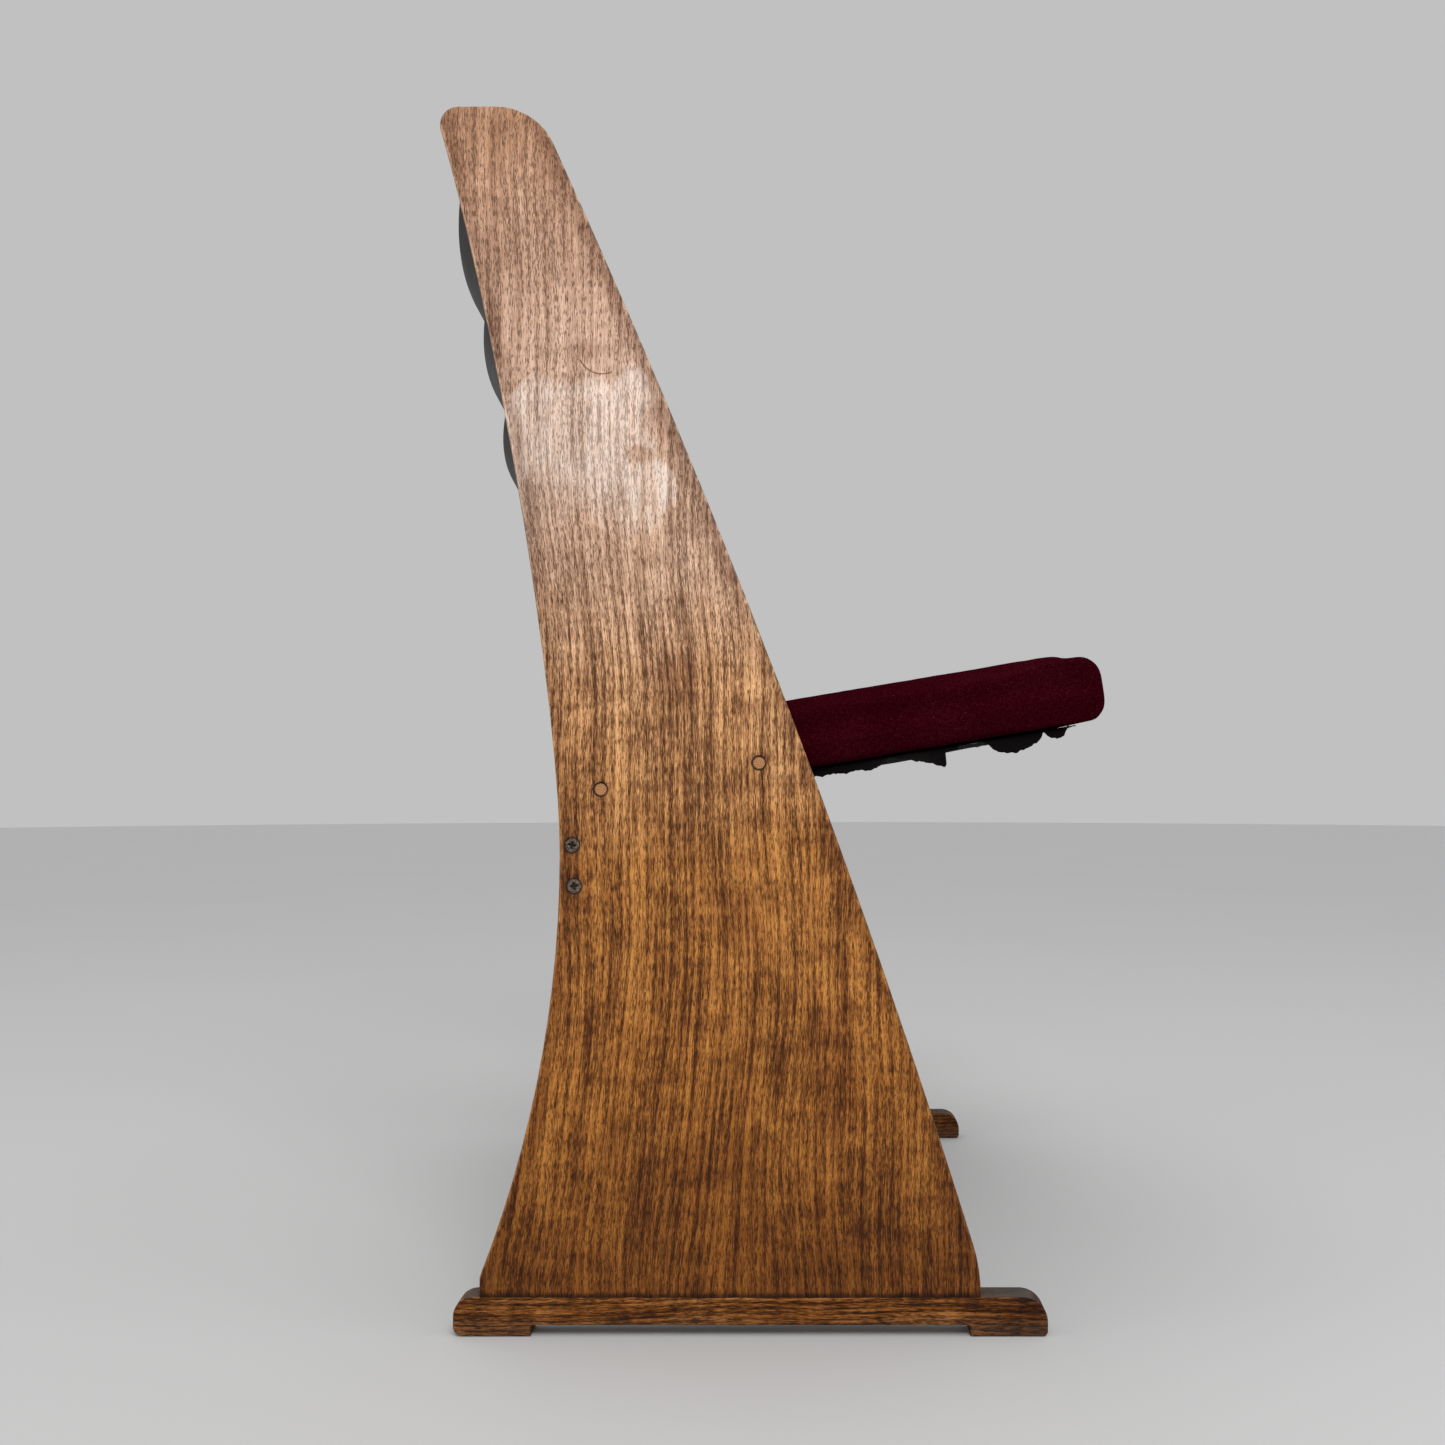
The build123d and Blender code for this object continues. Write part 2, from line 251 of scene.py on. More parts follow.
class Modeller(Graph):
    """A geometry node tree with named inputs, which grows one plain mesh at a time."""

    KINDS = {"number": "NodeSocketFloat", "count": "NodeSocketInt", "object": "NodeSocketObject",
             "material": "NodeSocketMaterial"}

    def __init__(self, name, inputs):
        super().__init__(bpy.data.node_groups.new(name, "GeometryNodeTree"))
        self.keys = {}
        for direction in ("INPUT", "OUTPUT"):
            self.tree.interface.new_socket(name="Geometry", in_out=direction,
                                           socket_type="NodeSocketGeometry")
        for label, kind in inputs.items():
            made = self.tree.interface.new_socket(name=label, in_out="INPUT",
                                                  socket_type=self.KINDS[kind])
            self.keys[label] = made.identifier
        self.inputs = self.tree.nodes.new("NodeGroupInput")

    def given(self, label):
        return Value(self, self.inputs, label)

    def close(self, geometry):
        whole = self.node("GeometryNodeRealizeInstances", None, {0: geometry})
        sockets = {"Geometry": whole, "Material": self.given("Finish")}
        finished = self.node("GeometryNodeSetMaterial", None, sockets)
        self.node("NodeGroupOutput", None, {0: finished})

    def grow(self, name, start, values):
        """Run the tree on a start mesh and keep the result as a plain mesh."""
        piece = bpy.data.objects.new(name, start)
        bpy.context.scene.collection.objects.link(piece)
        modifier = piece.modifiers.new("grow", "NODES")
        modifier.node_group = self.tree
        for label, value in values.items():
            modifier[self.keys[label]] = value
        seen = piece.evaluated_get(bpy.context.evaluated_depsgraph_get())
        made = bpy.data.meshes.new_from_object(seen)
        piece.modifiers.remove(modifier)
        piece.data = made
        made.shade_smooth()
        made.set_sharp_from_angle(angle=CREASE)
        return piece


def colour(red, green, blue):
    return (red, green, blue, 1.0)


def dress(node, material):
    """Give a node of the fixed frame its finish."""
    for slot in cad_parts[node].material_slots:
        slot.material = material
    print(f"{node} wears {material.name}")


print("shaders and geometry trees can be written as sums")

# %% [markdown]
# ## Light and floor
# A plain studio: one large soft light high on the camera's side, which fades down the panel, a
# weaker one from the front, one behind, a faint wide sun as a ceiling, and an even grey
# surround. The floor is a plain pale disc.

# %% Light the studio
def soft_light(name, place, target, size, power):
    data = bpy.data.lights.new(name, "AREA")
    data.shape = "DISK"
    data.size = size
    data.energy = power
    lamp = bpy.data.objects.new(name, data)
    lamp.location = place
    lamp.rotation_mode = "QUATERNION"
    lamp.rotation_quaternion = (Vector(target) - Vector(place)).to_track_quat("-Z", "Y")
    bpy.context.scene.collection.objects.link(lamp)


SURROUND = 0.533
soft_light("key", (-1.9, -0.4, 2.0), (0, 0, 0.80), 1.2, 30)
soft_light("front_fill", (-0.9, -2.6, 1.3), (0, 0, 0.6), 1.6, 9)
soft_light("rear_fill", (-0.6, 2.4, 1.6), (0, 0, 0.7), 1.4, 8)
sun_data = bpy.data.lights.new("ceiling", "SUN")
sun_data.energy = 1.15
sun_data.angle = math.radians(70)
bpy.context.scene.collection.objects.link(bpy.data.objects.new("ceiling", sun_data))

surround = bpy.data.worlds.new("surround")
surround.use_nodes = True
surround.node_tree.nodes["Background"].inputs["Color"].default_value = colour(*[SURROUND] * 3)
bpy.context.scene.world = surround

floor_mesh = bpy.data.meshes.new("floor")
floor_form = bmesh.new()
bmesh.ops.create_circle(floor_form, cap_ends=True, radius=14, segments=96)
floor_form.to_mesh(floor_mesh)
floor_form.free()
floor = bpy.data.objects.new("floor", floor_mesh)
bpy.context.scene.collection.objects.link(floor)
floor_paint = Finish("pale_floor")
floor_x, floor_y, _ = floor_paint.place()
floor_cloud = floor_paint.noise(floor_paint.point(floor_x, floor_y, 0.0), 1.5)
floor_tone = floor_paint.mix(floor_cloud, colour(0.45, 0.45, 0.45), colour(0.47, 0.47, 0.47))
floor_mesh.materials.append(floor_paint.close(Base_Color=floor_tone, Roughness=0.9))
print("three soft lights, a ceiling, an even surround and a pale floor")

# %% [markdown]
# ## Oak
# Oak is a ring-porous wood: each year's growth starts with a row of large pores, which show as
# short dark dashes along the grain, and the fibres between them run as fine streaks. An image
# would give this at once but can't follow each part's grain, so the wood is worked out from
# place. Coordinates are turned so that one of them runs along the grain, then stretched: noise
# squeezed across the grain gives fibres, cells stretched along it give pores, and distance from
# the heart of an imagined log gives the growth rings.

# %% Grow the grain
class Grain:
    """Fields of one piece of oak: tone around 0.5, pores from 0 to 1, and a height for bump."""

    def __init__(self, finish, across, through, along, ring_width, sway, figure=1.0):
        slow = finish.point(across * 3.2, through * 3.2, along * 1.9)
        wander = finish.noise(slow, 1.0, 2.0) - 0.5
        ripple = finish.noise(finish.point(across * 26, through * 26, along * 8), 1.0, 2.0) - 0.5
        bent = across + sway * wander + 0.0025 * ripple
        turns = bent / ring_width + 1.6 * ripple + 3.0 * wander
        ring = finish.node("ShaderNodeMath", {"operation": "FRACT"}, {0: turns})
        early = finish.step(0.0, 0.12, ring) * (1.0 - finish.step(0.2, 0.75, ring))

        def fibres(width, length, detail, shift):
            squeezed = finish.point(bent / width, through / width + shift, along / length)
            return finish.noise(squeezed, 1.0, detail, 0.6)

        self.coarse = fibres(0.0055, 0.14, 2.0, 3.0)
        self.medium = fibres(0.0017, 0.034, 3.0, 7.0)
        self.fine = fibres(0.00075, 0.0085, 3.0, 11.0)
        short = fibres(0.0008, 0.0050, 1.0, 17.0)
        crowd = finish.noise(finish.point(bent * 75, through * 75, along * 14), 1.0, 2.0)
        dashes = finish.step(0.56, 0.70, short + 0.10 * early + 0.22 * (crowd - 0.5))
        cut = finish.point(bent / 0.0021, through / 0.0021, along / 0.013)
        slits = 1.0 - finish.step(0.10, 0.24, finish.cells(cut, 1.0))
        self.pores = dashes.larger(slits * finish.step(0.46, 0.60, crowd))
        self.cloud = finish.noise(finish.point(across * 9, through * 9, along * 7), 1.0, 4.0)
        fleck = finish.noise(finish.point(across * 30, through * 30, along * 75), 1.0, 3.0)
        self.tone = (
            0.5
            + 0.58 * (self.medium - 0.5)
            + 1.05 * (self.fine - 0.5)
            + 0.62 * (self.coarse - 0.5)
            + 0.40 * (self.cloud - 0.5)
            + 0.42 * (fleck - 0.5)
            - figure * 0.11 * (early - 0.35)
        )
        self.height = 0.40 * self.medium + 0.50 * self.fine - 0.9 * self.pores


print("grain is ready for any direction")

# %% [markdown]
# ## Measuring the frame in turned views
# The seat slopes and the slats lean back, so both are easier to measure after a turn about the
# bench's width that brings them level or upright. The angle comes from the largest face that
# looks the right way. Nodes that hold several screws or tacks are split into loose parts first.

# %% Turn and split the frame's meshes
def circle_through(first, second, third):
    """Centre and radius of the circle through three points of a plane."""
    (ax, ay), (bx, by), (cx, cy) = first, second, third
    twice = 2 * (ax * (by - cy) + bx * (cy - ay) + cx * (ay - by))
    a, b, c = ax * ax + ay * ay, bx * bx + by * by, cx * cx + cy * cy
    x = (a * (by - cy) + b * (cy - ay) + c * (ay - by)) / twice
    y = (a * (cx - bx) + b * (ax - cx) + c * (bx - ax)) / twice
    return x, y, math.hypot(ax - x, ay - y)


def points_of(node):
    return np.array([v.co[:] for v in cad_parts[node].data.vertices])


def turned(points, angle):
    """Points turned about X, so that a direction leaning back by the angle comes upright."""
    points = np.asarray(points, dtype=float)
    y, z = points[..., 1], points[..., 2]
    cosine, sine = math.cos(angle), math.sin(angle)
    return np.stack([points[..., 0], y * cosine - z * sine, y * sine + z * cosine], axis=-1)


def loose_parts(node):
    """The points of each separate solid in a node."""
    form = bmesh.new()
    form.from_mesh(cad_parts[node].data)
    bmesh.ops.remove_doubles(form, verts=form.verts, dist=1e-6)
    left = set(form.verts)
    parts = []
    while left:
        front = [left.pop()]
        found = list(front)
        while front:
            for edge in front.pop().link_edges:
                for vert in edge.verts:
                    if vert in left:
                        left.remove(vert)
                        front.append(vert)
                        found.append(vert)
        parts.append(np.array([v.co[:] for v in found]))
    form.free()
    return parts


def widest_face_normal(node, wanted):
    """Direction of the largest face that looks roughly along a wanted direction."""
    faces = [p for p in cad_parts[node].data.polygons if p.normal.dot(wanted) > 0.8]
    return max(faces, key=lambda p: p.area).normal


seat_normal = widest_face_normal("seat_cover", Vector((0, 0, 1)))
SEAT_SLOPE = math.atan2(seat_normal.y, seat_normal.z)
seat_level = turned(points_of("seat_cover"), SEAT_SLOPE)
seat_low = seat_level.min(axis=0)
seat_high = seat_level.max(axis=0)
print("seat slope", round(math.degrees(SEAT_SLOPE), 2), "degrees; level size in mm",
      np.round((seat_high - seat_low) * 1000, 1))

# %% [markdown]
# ## Back slats
# Each slat is a rounded strip sawn to a bow and let into both panels. Bending a modelled box
# would distort its rounded edges, while a sweep keeps them true, so a small tree sweeps a
# filleted rectangle along an arc and leans the result back. The arc and the section come from
# the frame. The stain is near black, with a little dust on what faces up.

# %% Sweep the slats
slat_maker = Modeller("slat_maker", {
    "Bow radius": "number", "Half sweep": "number", "Height": "number", "Thickness": "number",
    "Edge radius": "number", "Centre depth": "number", "Centre height": "number",
    "Recline": "number", "Finish": "material",
})
m = slat_maker
bow = m.node("GeometryNodeCurveArc", {"mode": "RADIUS"}, {
    "Resolution": 72, "Radius": m.given("Bow radius"),
    "Start Angle": math.pi / 2 - m.given("Half sweep"),
    "Sweep Angle": 2.0 * m.given("Half sweep"),
})
bow = m.node("GeometryNodeSetCurveNormal", {"mode": "Z_UP"}, {"Curve": bow})
section = m.node("GeometryNodeCurvePrimitiveQuadrilateral", None, {
    "Width": m.given("Thickness"), "Height": m.given("Height"),
})
section = m.node("GeometryNodeFilletCurve", {"mode": "POLY"}, {
    "Curve": section, "Count": 7, "Radius": m.given("Edge radius"),
})
strip = m.node("GeometryNodeCurveToMesh", None, {
    "Curve": bow, "Profile Curve": section, "Fill Caps": True,
})
centre = m.node("ShaderNodeCombineXYZ", None, {
    1: m.given("Centre depth"), 2: m.given("Centre height"),
})
strip = m.node("GeometryNodeTransform", None, {"Geometry": strip, "Translation": centre})
lean = m.node("ShaderNodeCombineXYZ", None, {0: 0.0 - m.given("Recline")})
m.close(m.node("GeometryNodeTransform", None, {"Geometry": strip, "Rotation": lean}))


def slat_finish():
    f = Finish("dark_slat")
    x, y, z = f.place()
    grain = Grain(f, z * 1.2, y, x, 0.0050, 0.020)
    stain = f.ramp(grain.tone, [
        (0.15, (0.003, 0.002, 0.002)),
        (0.55, (0.010, 0.007, 0.006)),
        (0.90, (0.026, 0.019, 0.015)),
    ])
    cloud = f.noise(f.point(x * 9, y * 30, z * 30), 1.0, 4.0)
    dust = f.step(0.25, 0.95, f.upwards()) * (0.5 + 0.6 * cloud)
    stain = f.mix(0.30 * dust, stain, colour(0.10, 0.09, 0.08))
    roughness = 0.34 + 0.2 * cloud + 0.2 * dust
    return f.close(Base_Color=stain, Roughness=roughness, Specular_IOR_Level=0.09,
                   Specular_Tint=colour(1.0, 0.88, 0.76), Normal=f.bump(grain.height, 0.0002, 0.4))


SLAT_EDGE = 0.0049             # radius of the slats' rounded edges
END_SPARE = 0.0006             # how far a slat stops short of the end of its socket
SLICE = 0.02                   # half width of the slice that is measured
dark_slat = slat_finish()
for slat in ("upper_back_slat", "middle_back_slat", "lower_back_slat"):
    face = widest_face_normal(slat, Vector((0, 1, -0.45)).normalized())
    recline = math.atan2(-face.z, face.y)
    upright = turned(points_of(slat), recline)
    low, high = upright.min(axis=0), upright.max(axis=0)
    back_line = []
    for x in (low[0], 0.0, high[0]):
        near = upright[np.abs(upright[:, 0] - x) < SLICE]
        furthest = near[near[:, 1].argmax()]
        back_line.append((furthest[0], furthest[1]))
    _, ring_y, ring_radius = circle_through(*back_line)
    middle = upright[np.abs(upright[:, 0]) < SLICE]
    thickness = ring_y + ring_radius - middle[:, 1].min()
    strip_piece = slat_maker.grow("bowed_" + slat, bpy.data.meshes.new(slat), {
        "Bow radius": ring_radius - thickness / 2,
        "Half sweep": math.asin((high[0] - END_SPARE) / ring_radius),
        "Height": high[2] - low[2], "Thickness": thickness, "Edge radius": SLAT_EDGE,
        "Centre depth": ring_y, "Centre height": (high[2] + low[2]) / 2,
        "Recline": recline, "Finish": dark_slat,
    })
    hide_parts(slat)
    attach(strip_piece, "root")
    print(f"{slat}: recline {math.degrees(recline):.1f} degrees, bow {ring_radius:.3f} m,"
          f" section {(high[2] - low[2]) * 1000:.1f} x {thickness * 1000:.1f} mm")

# %% [markdown]
# ## Seat cushion
# The cushion is foam on a board, with cloth pulled over it and tacked below. Carving folds by
# hand rarely looks right, so the cloth is simulated. It starts as a closed block with rounded
# edges, a little too low, remeshed into even quads so that it stretches alike everywhere. All
# of this happens in the seat's level frame: x across, u from front to back, w up.

# %% Outline the pad
PANEL_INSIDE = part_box("right_end_panel")[0].x - 0.0004
START_SHORTFALL = 0.0035       # how far the pad's top starts below the finished seat
EDGE_RADII = (0.0150, 0.0165, 0.0060, 0.001)    # nose bottom, nose top, heel top, heel bottom
QUAD_SIZE = 0.005
board_level = turned(points_of("seat_board"), SEAT_SLOPE)
BOARD_HALF = board_level[:, 0].max()


def rounded_outline(low, high, radii, steps=10):
    """Corners in order: nose bottom, nose top, heel top, heel bottom, each with a radius."""
    corners = [(low[0], low[1], 1, 1), (low[0], high[1], 1, -1),
               (high[0], high[1], -1, -1), (high[0], low[1], -1, 1)]
    starts = [-90, 180, 90, 0]
    outline = []
    for (u, w, du, dw), start, radius in zip(corners, starts, radii):
        for step in range(steps + 1):
            turn = math.radians(start - 90 * step / steps)
            outline.append((u + radius * (du + math.cos(turn)),
                            w + radius * (dw + math.sin(turn))))
    return outline


def block_between(name, outline, half_width):
    """A closed block: an outline of depth and height, drawn out to both sides."""
    mesh = bpy.data.meshes.new(name)
    form = bmesh.new()
    ends = [[form.verts.new((x, u, w)) for u, w in outline] for x in (-half_width, half_width)]
    form.faces.new(ends[0])
    form.faces.new(list(reversed(ends[1])))
    count = len(outline)
    for i in range(count):
        j = (i + 1) % count
        form.faces.new((ends[0][i], ends[1][i], ends[1][j], ends[0][j]))
    bmesh.ops.recalc_face_normals(form, faces=form.faces)
    form.to_mesh(mesh)
    form.free()
    return mesh


def settled(piece):
    """Replace a piece's mesh with the mesh its modifiers give."""
    made = bpy.data.meshes.new_from_object(
        piece.evaluated_get(bpy.context.evaluated_depsgraph_get()))
    piece.modifiers.clear()
    piece.data = made


def coordinates(mesh):
    """A mesh's points as rows of an array."""
    flat = np.empty(len(mesh.vertices) * 3)
    mesh.vertices.foreach_get("co", flat)
    return flat.reshape(-1, 3)


pad_top = seat_high[2] - START_SHORTFALL
pad_outline = rounded_outline(seat_low[1:], (seat_high[1], pad_top), EDGE_RADII)
cushion = bpy.data.objects.new(
    "wine_cushion", block_between("wine_cushion", pad_outline, seat_high[0]))
bpy.context.scene.collection.objects.link(cushion)
remesh = cushion.modifiers.new("even_quads", "REMESH")
remesh.mode = "VOXEL"
remesh.voxel_size = QUAD_SIZE
settled(cushion)
smooth = cushion.modifiers.new("even_surface", "SMOOTH")
smooth.factor = 0.5
smooth.iterations = 2
settled(cushion)
print("half widths in mm: board", round(BOARD_HALF * 1000, 2), "cover",
      round(seat_high[0] * 1000, 2), "panels", round(PANEL_INSIDE * 1000, 2))

# %% [markdown]
# ## Air in the pad
# The points on the board are held while air pressure fills the rest. A free pillow would bulge
# far more than firm foam, so only the first millimetres of each point's way are kept. The
# remesh leaves the held sides about half a quad short, so those are set back on their planes,
# after the run: points that coincide would stop the solver.

# %% Blow up the pad
LARGEST_MOVE = 0.0075
LAST_FRAME = 20
HALF_QUAD = 0.0026
before = coordinates(cushion.data)
on_board = before[:, 2] < board_level[:, 2].max() + 0.001
held = cushion.vertex_groups.new(name="held")
held.add([int(i) for i in np.flatnonzero(on_board)], 1.0, "REPLACE")
cloth = cushion.modifiers.new("cloth", "CLOTH")
cloth.settings.quality = 5
cloth.settings.mass = 0.25
cloth.settings.tension_stiffness = 14
cloth.settings.compression_stiffness = 10
cloth.settings.bending_stiffness = 0.6
cloth.settings.use_pressure = True
cloth.settings.uniform_pressure_force = 4.0
cloth.settings.vertex_group_mass = "held"
cloth.settings.effector_weights.gravity = 0.0
cloth.collision_settings.use_collision = False
for frame_number in range(1, LAST_FRAME + 1):
    bpy.context.scene.frame_set(frame_number)
settled(cushion)
bpy.context.scene.frame_set(1)
after = coordinates(cushion.data)
move = after - before
length = np.linalg.norm(move, axis=1)
print("cloth points:", len(after), "largest free move", round(length.max() * 1000, 1), "mm")
move *= np.minimum(1.0, LARGEST_MOVE / np.maximum(length, 1e-9))[:, None]
after = before + move
at_side = on_board & (np.abs(before[:, 0]) > seat_high[0] - HALF_QUAD)
after[at_side, 0] = np.sign(before[at_side, 0]) * seat_high[0]
at_back = on_board & (before[:, 1] > seat_high[1] - HALF_QUAD)
after[at_back, 1] = seat_high[1]

# %% [markdown]
# ## Nose and tacks
# Stuffing is packed tightest at the nose, which is rounder than air alone would make it and
# stands forward at its top. The lower edge is drawn in at each tack, with folds that fan out
# round the nose. Both are small moves of the points, made before the mesh gets finer.

# %% Shape the nose and the pulls
NOSE_ROUND_TOP, NOSE_ROUND_BOTTOM = 0.0175, 0.0125
NOSE_SHORTFALL = 0.0014        # the nose's top stays this far below the seat's highest point
NOSE_LEAN = 0.0022             # the nose's top stands this far ahead of its middle
NOSE_LIMIT = 0.0020            # and may pass the frame's nose by this much
LARGEST_PUSH, SKIN = 0.008, 0.012       # points deeper than the skin stay where they are
TACK_PITCH, TACK_PULL = 0.034, 0.0012
FOLD_LIFT, FAN_PULL = 0.0016, 0.0009


def rising(value, start, length):
    """0 up to a start, 1 from a length further on, and straight between."""
    return np.clip((value - start) / length, 0, 1)


def nose_filled(points):
    """Push the nose out to its full round, where the stuffing lies packed."""
    points = points.copy()
    x, u, w = points.T
    top = seat_high[2] - NOSE_SHORTFALL
    middle, half = (seat_low[2] + top) / 2, (top - seat_low[2]) / 2
    radius = np.where(w > middle, NOSE_ROUND_TOP, NOSE_ROUND_BOTTOM)
    ahead = seat_low[1] + radius - u
    beyond = np.abs(w - middle) - (half - radius)
    way = np.stack([np.maximum(ahead, 0), np.maximum(beyond, 0)])
    inside = radius - np.hypot(*way) - np.minimum(np.maximum(ahead, beyond), 0)
    deep = np.maximum(ahead, beyond) <= 0
    way[0] = np.where(deep, ahead > beyond, way[0])
    way[1] = np.where(deep, ahead <= beyond, way[1])
    way /= np.maximum(np.hypot(*way), 1e-9)
    near = 1 - rising(u, seat_low[1] + 0.030, 0.060)
    eased = near * near * (3 - 2 * near)
    full = 1 - 0.35 * rising(np.abs(x), PANEL_INSIDE - 0.010, 0.010)
    push = np.clip(inside, 0, LARGEST_PUSH) * (inside < SKIN) * eased * full
    points[:, 1] -= push * way[0] + NOSE_LEAN * near * (w - middle) / half
    points[:, 2] += np.sign(w - middle) * push * way[1]
    return points


def tacked(points):
    """Keep the pad between the panels and add the pulls of its tacks."""
    points = points.copy()
    x, u, w = points.T
    side = rising(np.abs(x), PANEL_INSIDE - 0.014, 0.012)
    low_part = (1 - rising(w, seat_low[2], 0.018)) ** 1.5
    wave = np.array([noise.noise(Vector((7 * np.sign(a), b * 55, 0.5))) for a, b, c in points])
    fine = np.array([noise.noise(Vector((a * 30, b * 130, c * 40))) for a, b, c in points])
    pulls = 0.5 + 0.5 * np.cos(2 * np.pi * u / TACK_PITCH + 3 * wave)
    points[:, 0] -= np.sign(x) * TACK_PULL * side * low_part * pulls
    points[:, 2] += FOLD_LIFT * side * low_part * wave
    nose = 1 - rising(u, seat_low[1], 0.05)
    fan = 0.5 + 0.5 * np.cos(np.arctan2(w - seat_low[2], u - seat_low[1] - 0.030) * 11 + 2 * wave)
    points[:, 0] -= np.sign(x) * FAN_PULL * side * nose * low_part ** 0.4 * fan
    points[:, 2] += 0.0004 * fine * (w > seat_low[2] + 0.02)
    points[:, 0] = np.clip(points[:, 0], -PANEL_INSIDE, PANEL_INSIDE)
    points[:, 1] = np.maximum(points[:, 1], seat_low[1] - NOSE_LIMIT)
    points[:, 2] = np.maximum(points[:, 2], seat_low[2])
    return points


cushion.data.vertices.foreach_set("co", tacked(nose_filled(after)).ravel())
subdivide = cushion.modifiers.new("finer", "SUBSURF")
subdivide.levels = 1
settled(cushion)
level_points = coordinates(cushion.data)
level_points[:, 0] = np.clip(level_points[:, 0], -PANEL_INSIDE, PANEL_INSIDE)
grown = level_points.max(axis=0) - level_points.min(axis=0)
print("cushion in mm:", np.round(grown * 1000, 1), "triangles:", 2 * len(cushion.data.polygons))

# %% [markdown]
# ## Wine cloth
# The cover is a plain weave, so its threads have to run with the seat and not with the world.
# A map of the level seat's own metres, taken along whichever way each face looks, carries them.
# Two sine waves cross for the weave, noise makes slubs, and a few pale bits of fluff lie on top.

# %% Weave the wine cloth
weave_map = cushion.data.uv_layers.new(name="weave")
for polygon in cushion.data.polygons:
    axis = max(range(3), key=lambda i: abs(polygon.normal[i]))
    keep = [i for i in range(3) if i != axis]
    for loop in polygon.loop_indices:
        spot = level_points[cushion.data.loops[loop].vertex_index]
        weave_map.data[loop].uv = (spot[keep[0]], spot[keep[1]])
cushion.data.vertices.foreach_set("co", turned(level_points, -SEAT_SLOPE).ravel())
cushion.data.update()
cushion.data.shade_smooth()
THREAD_SPACING = 0.00115


def wine_finish():
    f = Finish("wine_cloth")
    flat = f.node("ShaderNodeUVMap", {"uv_map": "weave"})
    u = f.node("ShaderNodeSeparateXYZ", None, {0: flat})
    v = u.also(1)
    x, y, z = f.place()
    turn = 2 * math.pi / THREAD_SPACING
    drift = 0.0006 * (f.noise(f.point(u * 90, v * 90, 0.0), 1.0, 2.0) - 0.5)

    def ridge(value):
        return f.node("ShaderNodeMath", {"operation": "SINE"}, {0: (value + drift) * turn})

    over = ridge(u) * ridge(v)
    slub = f.noise(f.point(u * 900, v * 260, 0.0), 1.0, 2.0)
    slub_across = f.noise(f.point(u * 260, v * 900, 4.0), 1.0, 2.0)
    speckle = f.noise(f.point(u * 620, v * 620, 0.0), 1.0, 3.0, 0.7)
    rub = f.noise(f.point(x * 18, y * 18, z * 18), 1.0, 4.0)
    tone = 0.5 + 0.55 * (speckle - 0.5) + 0.4 * (slub - 0.5) + 0.4 * (slub_across - 0.5)
    tone = tone + 0.08 * over + 0.25 * (rub - 0.5)
    dye = f.ramp(tone, [
        (0.22, (0.007, 0.0001, 0.0005)),
        (0.50, (0.025, 0.0004, 0.0026)),
        (0.78, (0.058, 0.0060, 0.0110)),
    ])
    fluff = f.cells(f.point(u * 150, v * 150, 0.0), 1.0)
    dye = f.mix(0.16 * (fluff < 0.06), dye, colour(0.20, 0.13, 0.12))
    height = 0.5 * over + 0.8 * slub + 0.8 * slub_across
    return f.close(Base_Color=dye, Roughness=0.86 + 0.1 * (speckle - 0.5),
                   Sheen_Weight=0.02, Sheen_Roughness=0.5, Sheen_Tint=colour(0.45, 0.10, 0.14),
                   Specular_IOR_Level=0.0, Normal=f.bump(height, 0.0005, 0.7))


cushion.data.materials.clear()
cushion.data.materials.append(wine_finish())
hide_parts("seat_cover", "seat_foam")
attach(cushion, "root")
print("wine cloth with a thread every", THREAD_SPACING * 1000, "mm")

# %% [markdown]
# ## Torn lining
# A thin black dust cloth is tacked under the seat. Along the near side it has torn free of its
# tacks, and rags of it hang below the edge. Draping a torn cloth by simulation would shape
# these rags by chance, so their edge is drawn: a table says how far the cloth hangs at each
# place, and noise frays it.

# %% Cut the ragged edge
lining_level = turned(points_of("seat_lining"), SEAT_SLOPE)
lining_low = lining_level.min(axis=0)
lining_high = lining_level.max(axis=0)
ROWS = 420
FRAY = 0.0011
RAGS = [                       # along the cloth from the seat's back edge, and hang: metres
    (0.000, 0.0000), (0.060, 0.0006), (0.120, 0.0012), (0.150, 0.0022), (0.166, 0.0052),
    (0.176, 0.0078), (0.186, 0.0066), (0.194, 0.0086), (0.204, 0.0070), (0.213, 0.0090),
    (0.221, 0.0062), (0.226, 0.0028), (0.231, 0.0024), (0.236, 0.0046), (0.246, 0.0078),
    (0.254, 0.0104), (0.260, 0.0126), (0.2655, 0.0152), (0.2675, 0.0148), (0.2685, 0.0050),
    (0.276, 0.0042), (0.280, 0.0012), (0.296, 0.0012), (0.300, 0.0050), (0.306, 0.0112),
    (0.313, 0.0128), (0.321, 0.0138), (0.329, 0.0118), (0.336, 0.0082), (0.3395, 0.0060),
    (0.341, 0.0016), (0.343, 0.0050), (0.350, 0.0090), (0.356, 0.0068), (0.360, 0.0012),
    (0.400, 0.0000),
]
rag_places, rag_hangs = np.array(RAGS).T
row_u = np.linspace(lining_high[1], lining_low[1], ROWS + 1)
from_back = seat_high[1] - row_u
ragged = np.array([noise.noise(Vector((place * 420, 0.3, 2.0))) for place in from_back])
hang = np.interp(from_back, rag_places, rag_hangs)
hang = np.maximum(0.0002, hang + FRAY * ragged * np.clip(hang / 0.003, 0.15, 1))
print("ragged edge in", ROWS + 1, "rows, hanging up to", round(float(hang.max()) * 1000, 1), "mm")

# %% [markdown]
# ## Folding the cloth down
# The cloth is a grid. Its wide part sags a little between the tacks, and the columns past the
# hinge at the seat's edge turn down round a small fold. They are counted in the cloth's own
# flat length, so that the hanging cloth has the area of the flat cut.

